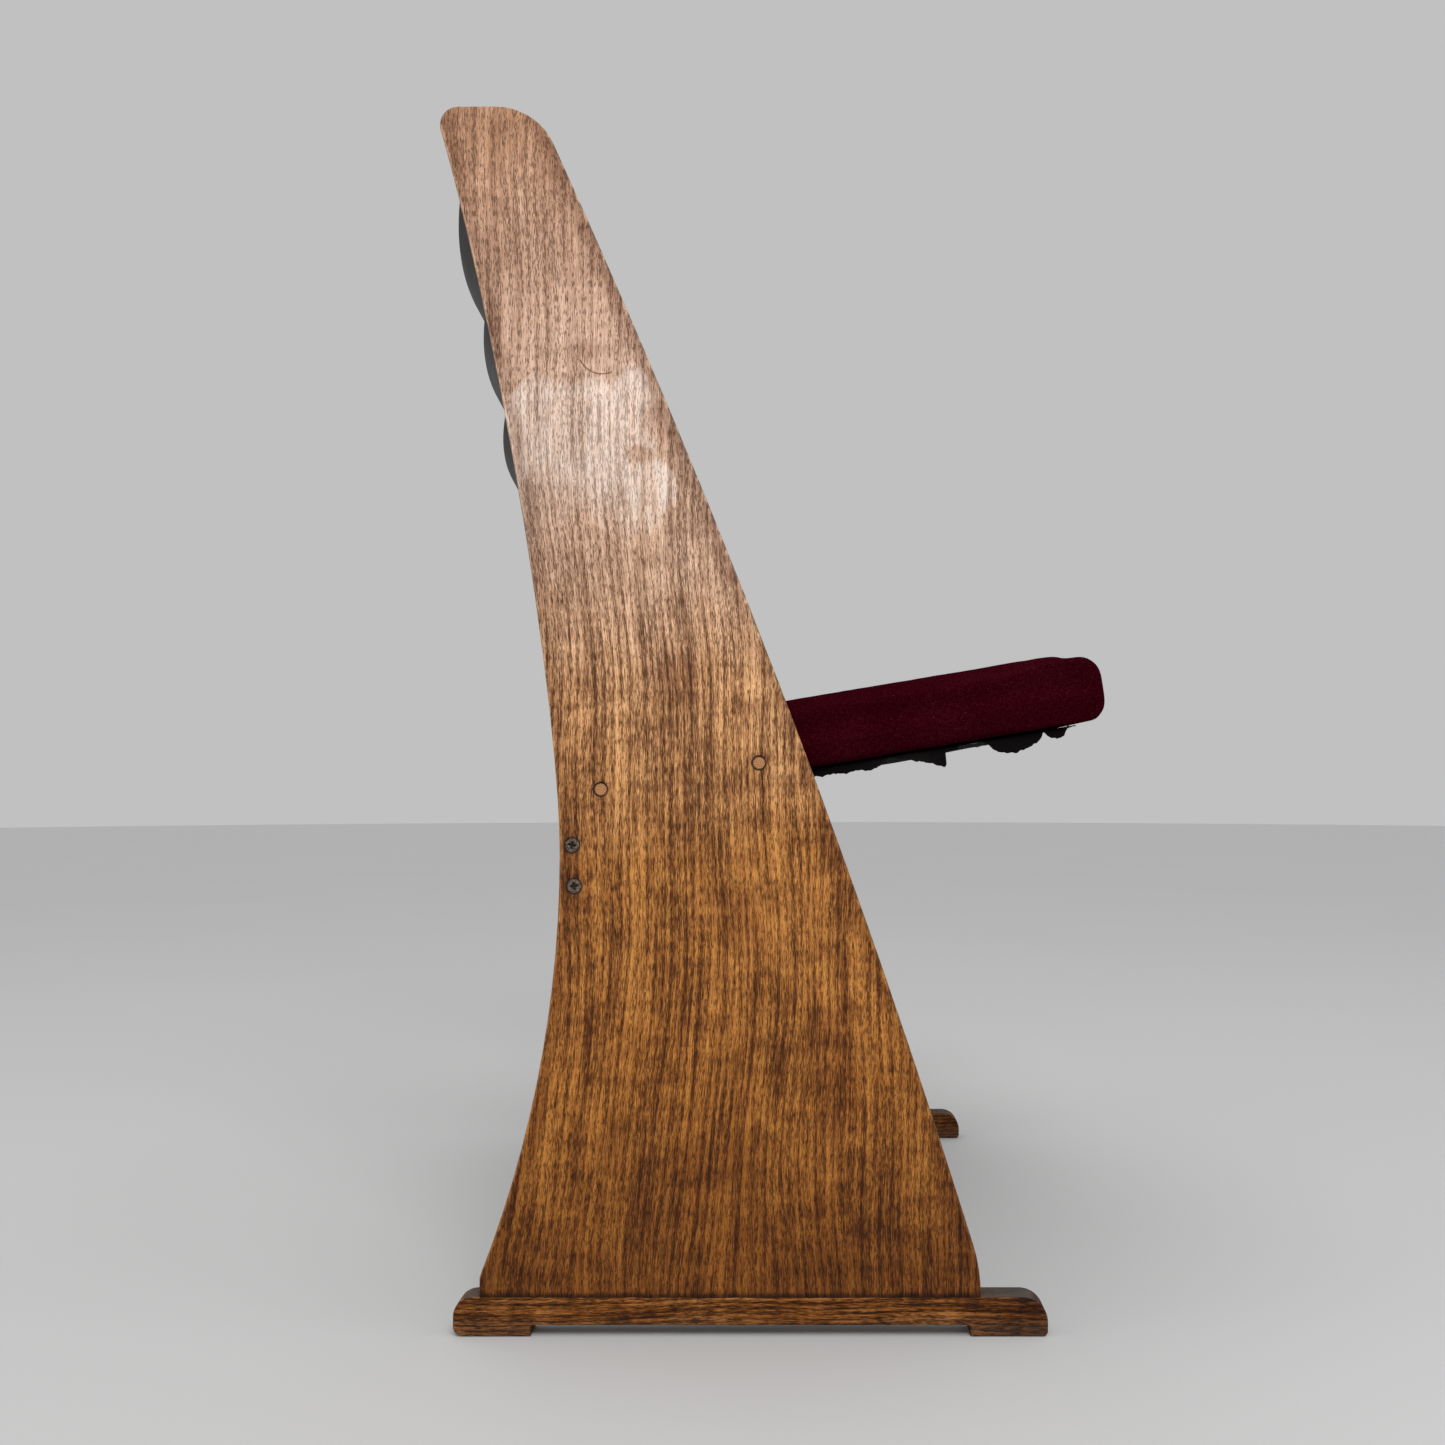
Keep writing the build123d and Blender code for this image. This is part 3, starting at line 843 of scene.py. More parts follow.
# %% Fold and hang the lining
LINING_THICKNESS = 0.0006
FOLD_RADIUS = 0.0022
LARGEST_SAG = 0.0045
SWING = 0.0016                 # how far a rag 12 mm long swings along the edge
ACROSS, RAG_COLUMNS = 46, 9
hinge = -lining_low[0] - FOLD_RADIUS
cloth_top = lining_high[2] - LINING_THICKNESS
lining_points, lining_faces, flat_area = [], [], 0.0
columns = ACROSS + 1 + RAG_COLUMNS
step_u = abs(row_u[1] - row_u[0])
for row, u in enumerate(row_u):
    curl = noise.noise(Vector((from_back[row] * 60, 3.0, 0.0)))
    swing = noise.noise(Vector((from_back[row] * 130, 8.0, 0.0)))
    along_edge = abs(u - (lining_low[1] + lining_high[1]) / 2) / (lining_high[1] - lining_low[1])
    for column in range(ACROSS + 1):
        x = lining_high[0] + (-hinge - lining_high[0]) * column / ACROSS
        belly = (1 - (2 * along_edge) ** 2) * (1 - (x / hinge) ** 2)
        wrinkle = noise.noise(Vector((x * 9, u * 14, 1.0)))
        sag = max(0.0, LARGEST_SAG * belly * (0.75 + 0.5 * wrinkle))
        lining_points.append((x, u, cloth_top - sag))
    x, w = -hinge, cloth_top
    rag_step = hang[row] / RAG_COLUMNS
    for column in range(RAG_COLUMNS):
        travelled = (column + 0.5) * rag_step
        lean = min(math.radians(84 + 16 * curl), travelled / FOLD_RADIUS)
        sway = 1 - 0.20 * swing * travelled / 0.012
        x -= rag_step * math.cos(lean) * sway
        w -= rag_step * math.sin(lean)
        lining_points.append((x, u + SWING * swing * travelled / 0.012, w))
for row in range(ROWS):
    flat_area += step_u * (lining_high[0] + hinge + (hang[row] + hang[row + 1]) / 2)
    for column in range(columns - 1):
        corner = row * columns + column
        lining_faces.append((corner, corner + 1, corner + columns + 1, corner + columns))
lining_mesh = bpy.data.meshes.new("dust_cloth")
lining_mesh.from_pydata(turned(lining_points, -SEAT_SLOPE).tolist(), [], lining_faces)
lining = bpy.data.objects.new("dust_cloth", lining_mesh)
bpy.context.scene.collection.objects.link(lining)
thicken = lining.modifiers.new("thickness", "SOLIDIFY")
thicken.thickness = LINING_THICKNESS
thicken.offset = 0.0
settled(lining)
lining.data.shade_smooth()
print("lining area", round(flat_area, 4), "m2")

# %% [markdown]
# ## Dust cloth
# The lining is a matt black felted cloth. Two noises are enough: a fine one for the fibres and
# a slow one for the dust that has settled in places.

# %% Dye and tack the lining
def lining_finish():
    f = Finish("black_dust_cloth")
    x, y, z = f.place()
    felt = f.noise(f.point(x * 700, y * 700, z * 700), 1.0, 3.0, 0.7)
    stain = f.noise(f.point(x * 11, y * 11, z * 11), 1.0, 4.0)
    dye = f.mix(felt, colour(0.0015, 0.0010, 0.0015), colour(0.008, 0.006, 0.007))
    dye = f.mix(f.step(0.52, 0.75, stain) * 0.5, dye, colour(0.016, 0.013, 0.012))
    return f.close(Base_Color=dye, Roughness=0.92, Specular_IOR_Level=0.03,
                   Normal=f.bump(felt, 0.0004, 0.6))


lining.data.materials.clear()
lining.data.materials.append(lining_finish())
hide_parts("seat_lining")
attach(lining, "root")

# %% [markdown]
# ## Screws, plugs and tacks
# These are small, repeated and turned, so each kind is modelled once: a grid of rings whose
# heights make the head, closed by the shank below. One tree then sets a copy at every measured
# place, faces it outwards and turns it by a random amount from a fixed seed, as a hand would
# leave it. A copy of the head's own coordinates travels with it, for its material.

# %% Set a copy at every place
fastener_maker = Modeller("fastener_maker", {
    "Pattern": "object", "Seed": "count", "Largest turn": "number", "Finish": "material",
})
m = fastener_maker
pattern = m.node("GeometryNodeObjectInfo", {"transform_space": "ORIGINAL"},
                 {"Object": m.given("Pattern")}, output="Geometry")
facing = m.node("GeometryNodeInputNamedAttribute", {"data_type": "FLOAT_VECTOR"},
                {"Name": "outwards"})
aimed = m.node("FunctionNodeAlignRotationToVector", {"axis": "Z"}, {"Vector": facing})
spin = m.node("FunctionNodeRandomValue", {"data_type": "FLOAT"}, {
    "Min": 0.0 - m.given("Largest turn"), "Max": m.given("Largest turn"), "Seed": m.given("Seed"),
}, output=1)
spin = m.node("FunctionNodeAxisAngleToRotation", None, {"Axis": (0, 0, 1), "Angle": spin})
set_out = m.node("GeometryNodeInstanceOnPoints", None, {
    "Points": m.given("Geometry"), "Instance": pattern, "Rotation": aimed,
})
m.close(m.node("GeometryNodeRotateInstances", None, {"Instances": set_out, "Rotation": spin}))


def turned_pattern(name, radius, height, below, rings=14, segments=72):
    """A head whose top is at 0: rings of a height function, then a lathe profile below it."""
    form = bmesh.new()
    centre = form.verts.new((0, 0, height(0.0, 0.0)))
    loops = []
    profile = [(radius * (i + 1) / rings, None) for i in range(rings)] + below
    for r, z in profile:
        ring = []
        for i in range(segments):
            a = 2 * math.pi * i / segments
            x, y = r * math.cos(a), r * math.sin(a)
            ring.append(form.verts.new((x, y, height(x, y) if z is None else z)))
        loops.append(ring)
    for i in range(segments):
        j = (i + 1) % segments
        form.faces.new((centre, loops[0][i], loops[0][j]))
        for inner, outer in zip(loops, loops[1:]):
            form.faces.new((inner[i], outer[i], outer[j], inner[j]))
    form.faces.new(list(reversed(loops[-1])))
    bmesh.ops.recalc_face_normals(form, faces=form.faces)
    mesh = bpy.data.meshes.new(name)
    form.to_mesh(mesh)
    form.free()
    local = mesh.attributes.new("local", "FLOAT_VECTOR", "POINT")
    local.data.foreach_set("vector", coordinates(mesh).ravel())
    made = bpy.data.objects.new(name, mesh)
    bpy.context.scene.collection.objects.link(made)
    return made


def places_of(node, outwards):
    """The middle of each loose part's outer end, its half width, depth and direction."""
    found = []
    for part in loose_parts(node):
        middle = (part.max(axis=0) + part.min(axis=0)) / 2
        way = Vector(outwards(middle)).normalized()
        upright = way.to_track_quat("Z", "Y").to_matrix()
        local = part @ np.array(upright)
        low, high = local.min(axis=0), local.max(axis=0)
        top = Vector(((low[0] + high[0]) / 2, (low[1] + high[1]) / 2, high[2]))
        found.append((upright @ top, way, (high[0] - low[0]) / 2, high[2] - low[2]))
    return sorted(found, key=lambda place: tuple(round(c, 5) for c in place[0]))


def set_fasteners(name, node, pattern, places, seed, turn, finish):
    """Set a pattern at every place, as the piece that stands in for a node."""
    start = bpy.data.meshes.new(name)
    start.from_pydata([tuple(place[0]) for place in places], [], [])
    ways = start.attributes.new("outwards", "FLOAT_VECTOR", "POINT")
    ways.data.foreach_set("vector", [c for place in places for c in place[1]])
    piece = fastener_maker.grow(name, start, {
        "Pattern": pattern, "Seed": seed, "Largest turn": turn, "Finish": finish,
    })
    bpy.data.objects.remove(pattern)
    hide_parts(node)
    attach(piece, "root")
    print(f"{name}: {len(places)} at half width {places[0][2] * 1000:.2f} mm,"
          f" depth {places[0][3] * 1000:.1f} mm")


def sideways(middle):
    return (math.copysign(1, middle[0]), 0, 0)


def downwards(middle):
    return (0, 0, -1)


def under_seat(middle):
    return (0, -math.sin(SEAT_SLOPE), -math.cos(SEAT_SLOPE))


print("one tree sets every kind of fastener")

# %% [markdown]
# ## Dull steel and end grain
# The screws are old steel, dull with rust, with painted shade darkest inside the recess of the
# cross. The plugs show end grain, whose rings are centred off the plug, with a painted dark ring
# of shade round the rim.
# Both read the pattern's own coordinates, so each head carries its marks wherever it is set.

# %% Finish the metal and the end grain
def local_place(finish):
    """X, Y and depth in the fastener's own coordinates."""
    local = finish.node("ShaderNodeAttribute", {"attribute_name": "local"}, output="Vector")
    x = finish.node("ShaderNodeSeparateXYZ", None, {0: local})
    return x, x.also(1), x.also(2)


def steel_finish(name, dull, bright):
    f = Finish(name)
    _, _, depth = local_place(f)
    px, py, pz = f.place()
    cloud = f.noise(f.point(px * 900, py * 900, pz * 900), 1.0, 4.0)
    shade = f.mix(f.step(0.35, 0.70, cloud), colour(*dull), colour(*bright))
    # Painted shade: the head is darkened where it lies deeper than its top, inside the cross
    # recess.
    recess = 1.0 - f.step(-0.0012, -0.0002, depth)
    shade = f.mix(0.85 * recess, shade, colour(0.012, 0.008, 0.006))
    return f.close(Base_Color=shade, Metallic=0.55, Roughness=0.42 + 0.3 * cloud,
                   Normal=f.bump(cloud, 0.0001, 0.5))


def plug_finish():
    f = Finish("end_grain_plug")
    x, y, _ = local_place(f)
    swirl = f.noise(f.point(x * 160, y * 160, 0.0), 1.0, 2.0) - 0.5
    off = ((x - 0.002) * (x - 0.002) + (y + 0.003) * (y + 0.003)) ** 0.5
    rings = f.node("ShaderNodeMath", {"operation": "SINE"}, {0: off * 5200 + 16.0 * swirl})
    pores = 1.0 - f.step(0.18, 0.36, f.cells(f.point(x * 1500, y * 1500, 0.0), 1.0))
    shade = f.mix(0.5 + 0.5 * rings, colour(0.30, 0.120, 0.040), colour(0.56, 0.29, 0.13))
    shade = f.mix(0.6 * pores, shade, colour(0.10, 0.04, 0.02))
    out = (x * x + y * y) ** 0.5
    # Painted shade: a dark ring round the plug's rim, where it sits a little below the panel.
    rim = f.step(0.0038, 0.0046, out + 0.0007 * swirl)
    shade = f.mix(0.85 * rim, shade, colour(0.030, 0.012, 0.006))
    return f.close(Base_Color=shade, Roughness=0.55 + 0.2 * pores, Specular_IOR_Level=0.2,
                   Normal=f.bump(rings, 0.0002, 0.4))


screw_steel = steel_finish("dull_screw_steel", (0.045, 0.032, 0.024), (0.24, 0.18, 0.135))
tack_steel = steel_finish("blued_tack_steel", (0.03, 0.03, 0.032), (0.12, 0.12, 0.125))
print("finishes:", screw_steel.name, "and", tack_steel.name)

# %% [markdown]
# ## Heads, plugs and tacks
# A screw's cross is pressed into its head, so its height comes from a function of place: deep
# inside the arms and slightly worn at the rim. Plugs and tacks get shallower domes. Every
# pattern keeps the radius and the depth that its node has in the frame.

# %% Cut heads, plugs and tacks
CROSS_DEPTH, CROSS_ARM = 0.0016, 0.00085
THREAD_PITCH, HEAD_RIM = 0.0016, 0.0006
LITTLE_TURN, ANY_TURN = 0.9, 3.1        # the furthest a copy is turned at random, in radians


def crossed_head(radius):
    """Height of a countersunk head with a cross recess and a slightly worn rim."""
    def height(x, y):
        arm = min(abs(x), abs(y))
        reach = max(abs(x), abs(y))
        inside = max(0.0, min(1.0, (CROSS_ARM - arm) / 0.00035))
        inside *= max(0.0, min(1.0, (radius * 0.56 - reach) / 0.0006))
        rim = (math.hypot(x, y) / radius) ** 8
        return -CROSS_DEPTH * inside - 0.00025 * rim
    return height


def screw_pattern(name, head_radius, depth, shank_radius):
    """A countersunk head over a threaded shank that ends in a point."""
    cone = head_radius - shank_radius
    below = [(head_radius, -HEAD_RIM), (shank_radius, -HEAD_RIM - cone)]
    for turn in range(int((depth - cone - 0.004) / THREAD_PITCH)):
        z = -0.0010 - cone - turn * THREAD_PITCH
        below += [(shank_radius, z), (shank_radius * 0.82, z - THREAD_PITCH / 2)]
    below += [(shank_radius * 0.8, -depth + 0.003), (0.0004, -depth + 0.0003)]
    return turned_pattern(name, head_radius, crossed_head(head_radius), below, rings=16,
                          segments=64)


rear_places = places_of("stretcher_screws", sideways)
_, _, rear_radius, rear_depth = rear_places[0]
set_fasteners("stretcher_cross_head_screws", "stretcher_screws",
              screw_pattern("rear_screw", rear_radius, rear_depth, 0.0022),
              rear_places, 11, LITTLE_TURN, screw_steel)
foot_places = places_of("runner_screws", downwards)
_, _, foot_radius, foot_depth = foot_places[0]
set_fasteners("runner_cross_head_screws", "runner_screws",
              screw_pattern("foot_screw", foot_radius, foot_depth, 0.0020),
              foot_places, 12, ANY_TURN, screw_steel)

plug_places = places_of("seat_screw_plugs", sideways)
_, _, plug_radius, plug_depth = plug_places[0]


def plug_top(x, y):
    r = math.hypot(x, y) / plug_radius
    return -0.00035 * r ** 10 + 0.00003 * math.sin(x * 1500 + 2) * math.cos(y * 1100)


plug = turned_pattern("plug", plug_radius, plug_top, [
    (plug_radius, -0.0008), (plug_radius * 0.985, -plug_depth * 0.5),
    (plug_radius * 0.96, -plug_depth),
])
set_fasteners("end_grain_plugs", "seat_screw_plugs", plug, plug_places, 21, ANY_TURN,
              plug_finish())

for node, name, seed in [("cover_tacks", "cover_tack_row", 31),
                         ("lining_tacks", "lining_tack_row", 32)]:
    spots = places_of(node, under_seat)
    _, _, half, deep = spots[0]

    def dome(x, y, half=half):
        return -0.0008 * (math.hypot(x, y) / half) ** 2.2

    tack = turned_pattern("tack", half, dome, [
        (half * 0.97, -0.0009), (0.0007, -0.0010), (0.0006, -deep * 0.6), (0.0001, -deep),
    ], rings=8, segments=28)
    set_fasteners(name, node, tack, spots, seed, ANY_TURN, tack_steel)

# %% [markdown]
# ## Hidden wood and metal
# The board under the foam is plywood, whose edge shows its layers. Cloth pulled round a sharp
# edge would let it through, so the board's edges are rounded over and eased in a little, as an
# upholsterer would plane them. The screws behind the plugs keep the frame's exact shape.

# %% Shape and dress what stays hidden
EASE_IN = 0.0024
BOARD_RADII = (0.012, 0.003, 0.003, 0.003)      # nose bottom, nose top, heel top, heel bottom
PLY_LAYERS = 0.0032            # thickness of two layers


def board_finish():
    f = Finish("birch_ply")
    x, y, z = f.place()
    lift = y * math.sin(SEAT_SLOPE) + z * math.cos(SEAT_SLOPE)
    layer = f.node("ShaderNodeMath", {"operation": "SINE"}, {0: lift * (2 * math.pi / PLY_LAYERS)})
    fleck = f.noise(f.point(x * 40, y * 260, z * 260), 1.0, 3.0)
    edge = 1.0 - f.step(0.6, 0.9, abs(f.upwards()))
    shade = f.mix(fleck, colour(0.42, 0.27, 0.14), colour(0.60, 0.43, 0.26))
    shade = f.mix(0.45 * edge * (layer > 0.0), shade, colour(0.22, 0.12, 0.06))
    return f.close(Base_Color=shade, Roughness=0.7, Normal=f.bump(fleck, 0.0003, 0.5))


board_outline = rounded_outline(board_level.min(axis=0)[1:] + EASE_IN,
                                board_level.max(axis=0)[1:] - EASE_IN, BOARD_RADII)
board = bpy.data.objects.new(
    "ply_board", block_between("ply_board", board_outline, BOARD_HALF - EASE_IN))
bpy.context.scene.collection.objects.link(board)
round_over = board.modifiers.new("round_over", "BEVEL")
round_over.width = 0.0015
round_over.segments = 3
settled(board)
board.data.vertices.foreach_set("co", turned(coordinates(board.data), -SEAT_SLOPE).ravel())
board.data.materials.append(board_finish())
board.data.shade_smooth()
board.data.set_sharp_from_angle(angle=CREASE)
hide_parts("seat_board")
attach(board, "root")
dress("seat_screws", screw_steel)

# %% [markdown]
# ## The panel's edges
# The panels' long edges are rubbed, with grime just inside them, so the finish needs the
# distance to an edge. Those edges are arcs, which makes it a sum: the distance to the arc's
# centre less its radius. The front is one arc, and the back two that meet at a waist. All
# three are measured on the frame itself, through three points of each.

# %% Measure the panel's edges
panel_points = points_of("left_end_panel")


def panel_edge(height, side):
    """Depth of the panel's front (side -1) or back (side 1) edge at a height."""
    ends = []
    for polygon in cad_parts["left_end_panel"].data.polygons:
        corners = [panel_points[i] for i in polygon.vertices]
        for one, two in zip(corners, corners[1:] + corners[:1]):
            if (one[2] - height) * (two[2] - height) < 0:
                share = (height - one[2]) / (two[2] - one[2])
                ends.append(one[1] + share * (two[1] - one[1]))
    return max(ends) if side > 0 else min(ends)


panel_low, panel_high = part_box("left_end_panel")
WAIST = 0.343                  # height where the back edge's two arcs meet
front_arc = circle_through(*[(panel_edge(h, -1), h) for h in (0.10, 0.45, 0.78)])
low_back_arc = circle_through(*[(panel_edge(h, 1), h) for h in (0.06, 0.20, 0.33)])
high_back_arc = circle_through(*[(panel_edge(h, 1), h) for h in (0.37, 0.60, 0.82)])
print("front edge radius", round(front_arc[2], 2), "back edge radii",
      round(low_back_arc[2], 2), round(high_back_arc[2], 2))

# %% [markdown]
# ## Spills and age
# The varnish has gone pale and pinkish towards the top, where light and hands reach it, and
# stays a deep orange brown near the floor; painted light adds to this, a fall of light and a
# sheen that are brightest high up. A spill has bleached a cloudy band under a wavy tide line,
# and a painted sheen of light lies on that band. There are damp spots and a short round
# scratch. Each mark is a few overlapping ovals, placed in metres on the panel and bent by
# noise, so that no rim looks drawn.

# %% Place the panel's marks
# Ovals of a bleached spill stain, which also carry a painted sheen of light.
BLEACHED_AND_SHEEN = [                    # middle, then half size, in metres: depth and height
    ((0.153, 0.640), (0.026, 0.047)),
    ((0.134, 0.626), (0.028, 0.053)),
    ((0.111, 0.634), (0.028, 0.049)),
    ((0.084, 0.648), (0.017, 0.044)),
    ((0.088, 0.600), (0.037, 0.033)),
    ((0.160, 0.602), (0.022, 0.062)),
    ((0.148, 0.580), (0.016, 0.046)),
]
DAMP_SPOTS = [
    ((0.067, 0.650), (0.015, 0.021)),
    ((0.079, 0.627), (0.015, 0.010)),
    ((0.118, 0.700), (0.016, 0.010)),
    ((0.060, 0.470), (0.040, 0.030)),
    ((0.122, 0.330), (0.016, 0.060)),
    ((0.010, 0.300), (0.036, 0.035)),
    ((-0.060, 0.190), (0.026, 0.070)),
    ((0.030, 0.120), (0.060, 0.028)),
]
SCRATCH = (0.106, 0.701, 0.0172)        # depth and height of an arc's centre, and its radius
# These colours pale towards the top partly because the varnish has faded and partly as painted
# light: a painted fall of light down the panel and a painted sheen.
OAK_FADE_AND_LIGHT_BY_HEIGHT = [               # mean colour of the varnished wood at shares of the height
    (0.00, (0.170, 0.052, 0.007)),
    (0.06, (0.235, 0.078, 0.012)),
    (0.18, (0.345, 0.125, 0.023)),
    (0.36, (0.395, 0.155, 0.036)),
    (0.50, (0.545, 0.275, 0.122)),
    (0.62, (0.590, 0.360, 0.235)),
    (0.75, (0.635, 0.410, 0.298)),
    (0.98, (0.420, 0.222, 0.128)),
]
OAK_CONTRAST = [                # a tint for each tone of the grain
    (0.24, (0.24, 0.18, 0.15)),
    (0.40, (0.62, 0.56, 0.52)),
    (0.52, (1.00, 1.00, 1.00)),
    (0.64, (1.34, 1.42, 1.48)),
    (0.80, (1.70, 1.95, 2.15)),
]


def distance(y, z, depth, height):
    """Distance from a point to a place, seen along the bench."""
    off_y = y - depth
    off_z = z - height
    return (off_y * off_y + off_z * off_z) ** 0.5


def from_arc(y, z, arc):
    """Distance from a point to an arc's line."""
    return abs(distance(y, z, arc[0], arc[1]) - arc[2])


def patches(finish, y, z, ovals, soft):
    """Ovals of 1 that fade out towards their rims, joined into one field."""
    field = None
    for middle, size in ovals:
        off_y = (y - middle[0]) / size[0]
        off_z = (z - middle[1]) / size[1]
        oval = 1.0 - finish.step(1.0 - soft, 1.0, (off_y * off_y + off_z * off_z) ** 0.5)
        field = oval if field is None else field.larger(oval)
    return field


print(len(BLEACHED_AND_SHEEN), "bleached ovals and", len(DAMP_SPOTS), "damp spots")

# %% [markdown]
# ## Oak veneer on the panels
# The finish is laid on as a finisher would see it: aged varnish over the grain, with a painted
# fall of light that pales it towards the top, then the spill with its painted sheen, the pores,
# the worn edges with painted shade along the front arris and over the runner, and last the
# painted rings of shade round plugs and screws. Each layer but the first takes the varnish's
# colour and gives it back changed.

# %% Varnish and wear the panels
# Varnish that pales towards the top, from fading and from a painted fall of light and sheen.
def varnish_faded_and_lit(f, grain, share, upper, x, y, z):
    drift = f.noise(f.point(x * 4, y * 9, z * 6), 1.0, 4.0)
    varnish = f.ramp(share + 0.16 * (drift - 0.5), OAK_FADE_AND_LIGHT_BY_HEIGHT)
    tone = 0.52 + (grain.tone - 0.515) * f.between(upper, 1.20, 0.58)
    return f.mix(1.0, varnish, f.ramp(tone, OAK_CONTRAST), "MULTIPLY")


def spilled(f, varnish, grain, x, y, z):
    """The varnish with its bleached band and painted sheen, tide line, damp spots and scratch; and
    the band.
    """
    warp = f.noise(f.point(x * 8, y * 42, z * 30), 1.0, 5.0) - 0.5
    warp_y = y + 0.010 * warp
    warp_z = z + 0.012 * warp
    bleach_and_sheen = patches(f, warp_y, warp_z, BLEACHED_AND_SHEEN, 0.16)
    tide = f.step(0.02, 0.30, bleach_and_sheen) * (1.0 - f.step(0.30, 0.80, bleach_and_sheen))
    damp = patches(f, warp_y, warp_z, DAMP_SPOTS, 0.7)
    outside = x < panel_low.x + 0.004
    patchy = f.noise(f.point(x * 8, y * 38 + 5.0, z * 20), 1.0, 4.0)
    feathered = z + 0.05 * warp + 0.10 * (grain.coarse - 0.5)
    lower_fade = f.step(0.545, 0.625, feathered)
    bleach_and_sheen = outside * bleach_and_sheen * (0.52 + 0.95 * f.step(0.36, 0.66, patchy)) * lower_fade
    bleach_and_sheen = bleach_and_sheen.smaller(1.0) * (1.0 - 0.80 * damp)
    raised = f.step(0.40, 0.62, grain.medium)
    # The pale mix is the bleached stain and a painted sheen of light together.
    varnish = f.mix(bleach_and_sheen * (0.24 + 0.36 * raised), varnish, colour(0.95, 0.83, 0.74))
    varnish = f.mix(0.20 * tide * outside * lower_fade, varnish, colour(0.85, 0.66, 0.54))
    varnish = f.mix(0.40 * damp * outside, varnish, colour(0.56, 0.44, 0.38), "MULTIPLY")
    line = 1.0 - f.step(0.0002, 0.0008, from_arc(y, z, SCRATCH))
    scratch = line * (z < 0.694) * (y > 0.099) * outside
    return f.mix(0.75 * scratch, varnish, colour(0.09, 0.04, 0.025)), bleach_and_sheen


def edge_worn(f, varnish, upper, chip, y, z):
    """Rubbed edges with grime just inside them, painted shade along the front edge's arris, and a
    painted shadow along the seam over the runner.
    """
    low_back = from_arc(y, z, low_back_arc)
    back = f.between(z > WAIST, low_back, from_arc(y, z, high_back_arc))
    front = from_arc(y, z, front_arc)
    ragged = front.smaller(back) + 0.0030 * chip
    grime = f.step(0.0012, 0.0022, ragged) * (1.0 - f.step(0.003, 0.016, ragged))
    rubbed = 1.0 - f.step(0.0004, 0.0016, ragged)
    varnish = f.mix(0.50 * grime, varnish, colour(0.36, 0.26, 0.20), "MULTIPLY")
    light_rub = f.mix(upper, colour(0.42, 0.20, 0.075), colour(0.60, 0.38, 0.24))
    varnish = f.mix(0.38 * rubbed, varnish, light_rub)
    # Painted shade along the rounded arris of the front edge.
    front_edge_shade = (1.0 - f.step(0.0008, 0.0026, front + 0.002 * chip)) * f.step(-0.12, 0.05, chip)
    varnish = f.mix(0.65 * front_edge_shade, varnish, colour(0.060, 0.026, 0.012))
    # Painted shadow along the seam where the panel stands in the runner.
    painted_seam_shade = 1.0 - f.step(0.0008, 0.0050, z - panel_low.z)
    return f.mix(0.80 * painted_seam_shade, varnish, colour(0.10, 0.06, 0.04), "MULTIPLY")


def ringed(f, varnish, chip, y, z):
    """A painted ring of shade at the rim of each plug and screw, and a faint darker halo round it.
    """
    for place, _, half, _ in plug_places + rear_places:
        near = distance(y, z, place.y, place.z) + 0.0010 * chip
        # Painted shade: a dark ring where each head sits below the panel's face.
        ring = f.step(half - 0.0004, half + 0.0001, near)
        ring = ring * (1.0 - f.step(half, half + 0.0014, near))
        halo = 1.0 - f.step(half, half + 0.006, near)
        varnish = f.mix(0.30 * halo, varnish, colour(0.50, 0.42, 0.36), "MULTIPLY")
        varnish = f.mix(0.80 * ring, varnish, colour(0.022, 0.010, 0.006))
    return varnish


def panel_finish():
    f = Finish("oak_panel")
    x, y, z = f.place()
    share = (z - panel_low.z) / (panel_high.z - panel_low.z)
    # The upper part, paler from fading and from painted light.
    upper = f.step(0.45, 0.72, share)
    grain = Grain(f, y, x * 3.0, z, 0.0062, 0.085, figure=0.6 - 0.2 * upper)
    varnish = varnish_faded_and_lit(f, grain, share, upper, x, y, z)
    varnish, bleach_and_sheen = spilled(f, varnish, grain, x, y, z)
    pores = grain.pores * (1.0 - 0.35 * bleach_and_sheen)
    pore_stain = f.mix(upper, colour(0.035, 0.013, 0.005), colour(0.085, 0.040, 0.026))
    varnish = f.mix(0.64 * pores, varnish, pore_stain)
    chip = f.noise(f.point(x * 300, y * 240, z * 110), 1.0, 4.0) - 0.5
    varnish = edge_worn(f, varnish, upper, chip, y, z)
    varnish = ringed(f, varnish, chip, y, z)
    roughness = 0.46 + 0.20 * (1.0 - grain.medium) + 0.20 * bleach_and_sheen + 0.20 * pores
    return f.close(Base_Color=varnish, Roughness=roughness, Specular_IOR_Level=0.16,
                   Normal=f.bump(grain.height, 0.00045, 0.9))


oak_panel = panel_finish()
dress("left_end_panel", oak_panel)
dress("right_end_panel", oak_panel)

# %% [markdown]
# ## Runners and stretcher
# The runners' grain lies flat, along the floor. Feet have scuffed them a little at both ends,
# they are darker towards the front end, dust lies on their upper faces, and dirt has soaked in
# near the floor. The stretcher is the same oak with its grain across the bench.

# %% Stain the runners and the stretcher
runner_low, runner_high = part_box("left_runner")


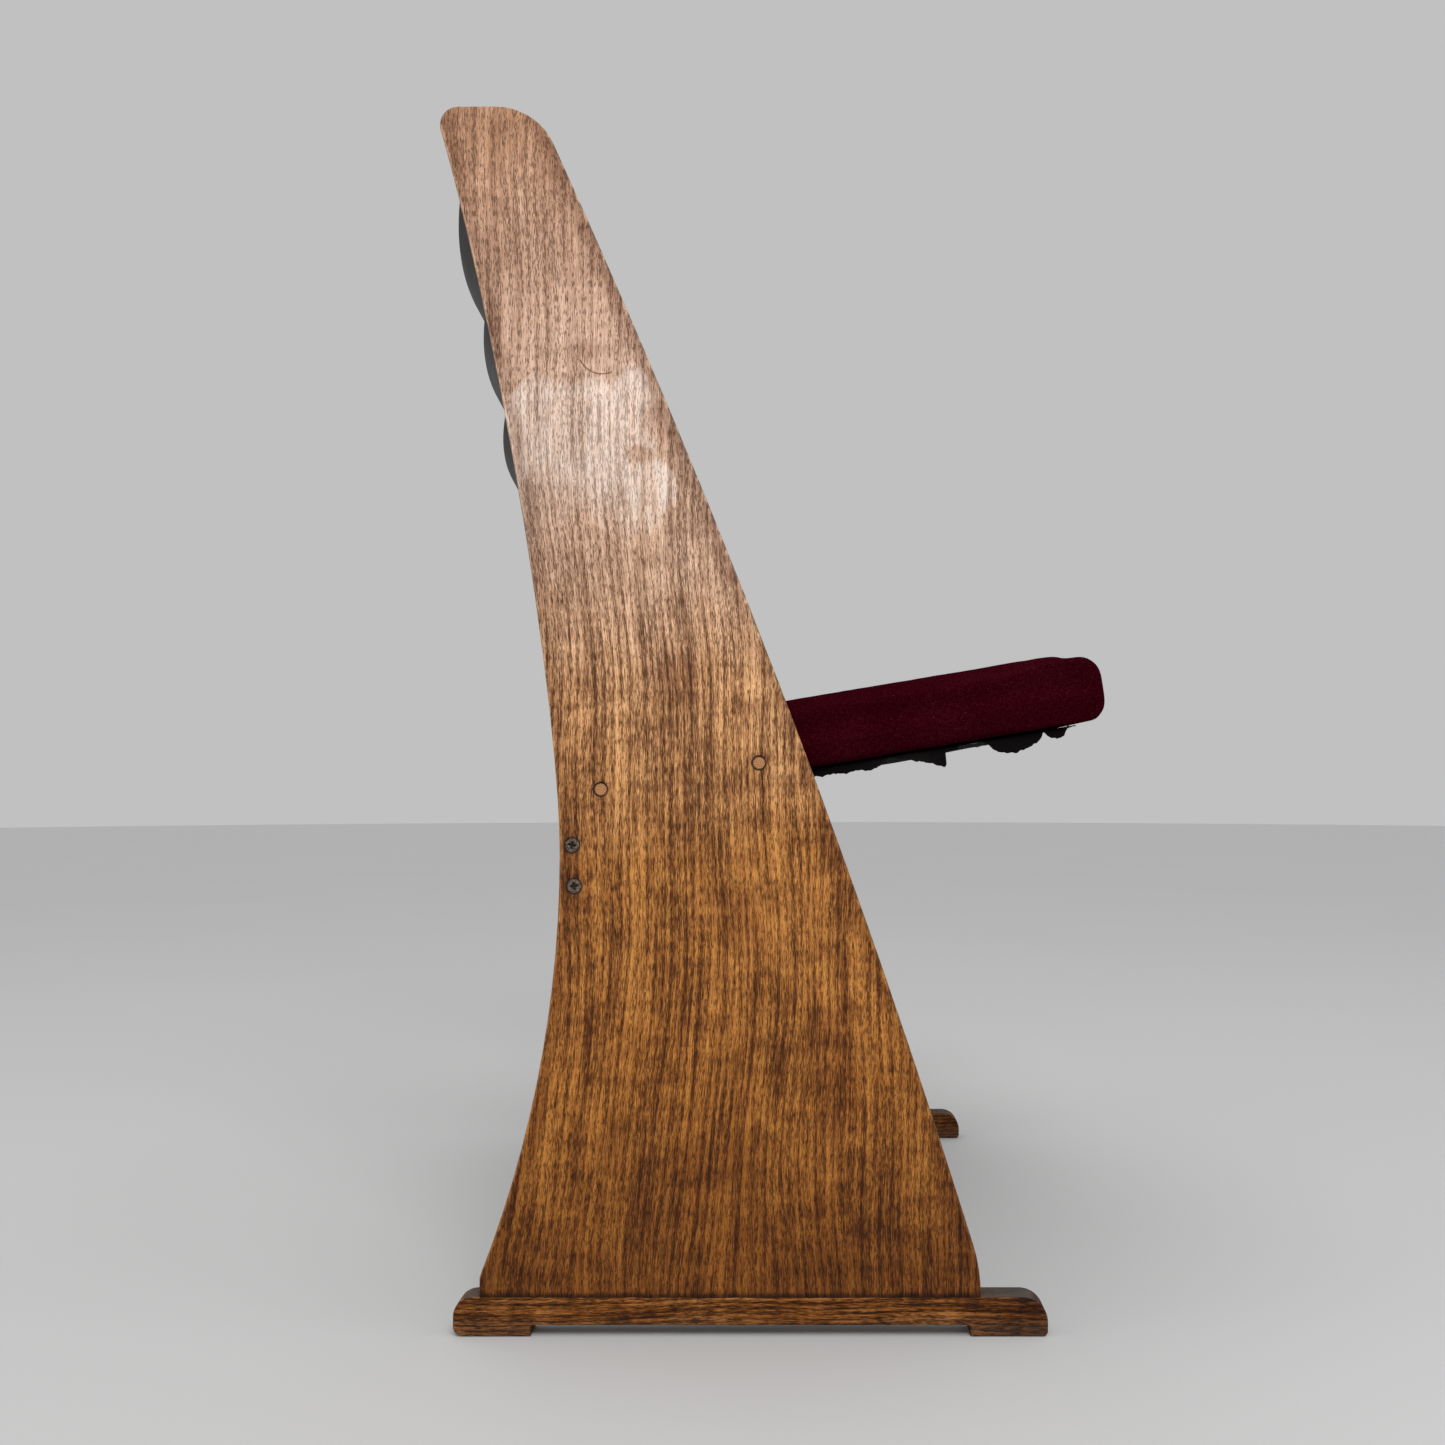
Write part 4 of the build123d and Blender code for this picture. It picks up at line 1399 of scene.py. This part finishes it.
def runner_finish():
    f = Finish("oak_runner")
    x, y, z = f.place()
    grain = Grain(f, z, x * 1.5, y, 0.0040, 0.020)
    varnish = f.ramp(grain.tone, [
        (0.26, (0.022, 0.007, 0.002)),
        (0.42, (0.095, 0.028, 0.004)),
        (0.54, (0.200, 0.064, 0.009)),
        (0.78, (0.420, 0.175, 0.052)),
    ])
    half = (runner_high.y - runner_low.y) / 2
    middle = (runner_high.y + runner_low.y) / 2
    to_end = abs(y - middle)
    cloud = f.noise(f.point(x * 30, y * 30, z * 30), 1.0, 3.0)
    scuff = f.step(half - 0.075, half - 0.010, to_end + 0.03 * (cloud - 0.5))
    varnish = f.mix(0.30 * scuff, varnish, colour(0.80, 0.80, 0.84), "MULTIPLY")
    front_end = 1.0 - f.step(runner_low.y + 0.02, runner_low.y + 0.07, y)
    varnish = f.mix(0.70 * front_end, varnish, colour(0.34, 0.26, 0.16), "MULTIPLY")
    low = 1.0 - f.step(0.004, 0.016, z + 0.01 * (cloud - 0.5))
    varnish = f.mix(0.25 * low, varnish, colour(0.14, 0.10, 0.07))
    varnish = f.mix(0.70 * grain.pores, varnish, colour(0.020, 0.010, 0.006))
    dust = f.step(0.75, 0.97, f.upwards()) * (0.55 + 0.6 * cloud)
    varnish = f.mix(0.85 * dust, varnish, colour(0.085, 0.075, 0.066))
    roughness = 0.50 + 0.2 * (1.0 - grain.medium) + 0.3 * dust + 0.15 * low
    return f.close(Base_Color=varnish, Roughness=roughness, Specular_IOR_Level=0.10,
                   Normal=f.bump(grain.height, 0.0005, 0.9))


def stretcher_finish():
    f = Finish("oak_stretcher")
    x, y, z = f.place()
    grain = Grain(f, z, y * 1.5, x, 0.0045, 0.020)
    varnish = f.ramp(grain.tone, [
        (0.26, (0.060, 0.020, 0.005)),
        (0.42, (0.170, 0.062, 0.016)),
        (0.56, (0.290, 0.118, 0.034)),
        (0.80, (0.460, 0.230, 0.090)),
    ])
    varnish = f.mix(0.7 * grain.pores, varnish, colour(0.030, 0.014, 0.008))
    return f.close(Base_Color=varnish, Roughness=0.46 + 0.2 * (1.0 - grain.medium),
                   Specular_IOR_Level=0.2, Normal=f.bump(grain.height, 0.00035, 0.8))


oak_runner = runner_finish()
dress("left_runner", oak_runner)
dress("right_runner", oak_runner)
dress("rear_stretcher", stretcher_finish())

# %% [markdown]
# ## Update the scene
# The view layer is brought up to date, so that every piece's placing is current. The
# finished model must stay inside the engineering model's box, give or take the cloth.

# %% Update the view layer
bpy.context.view_layer.update()
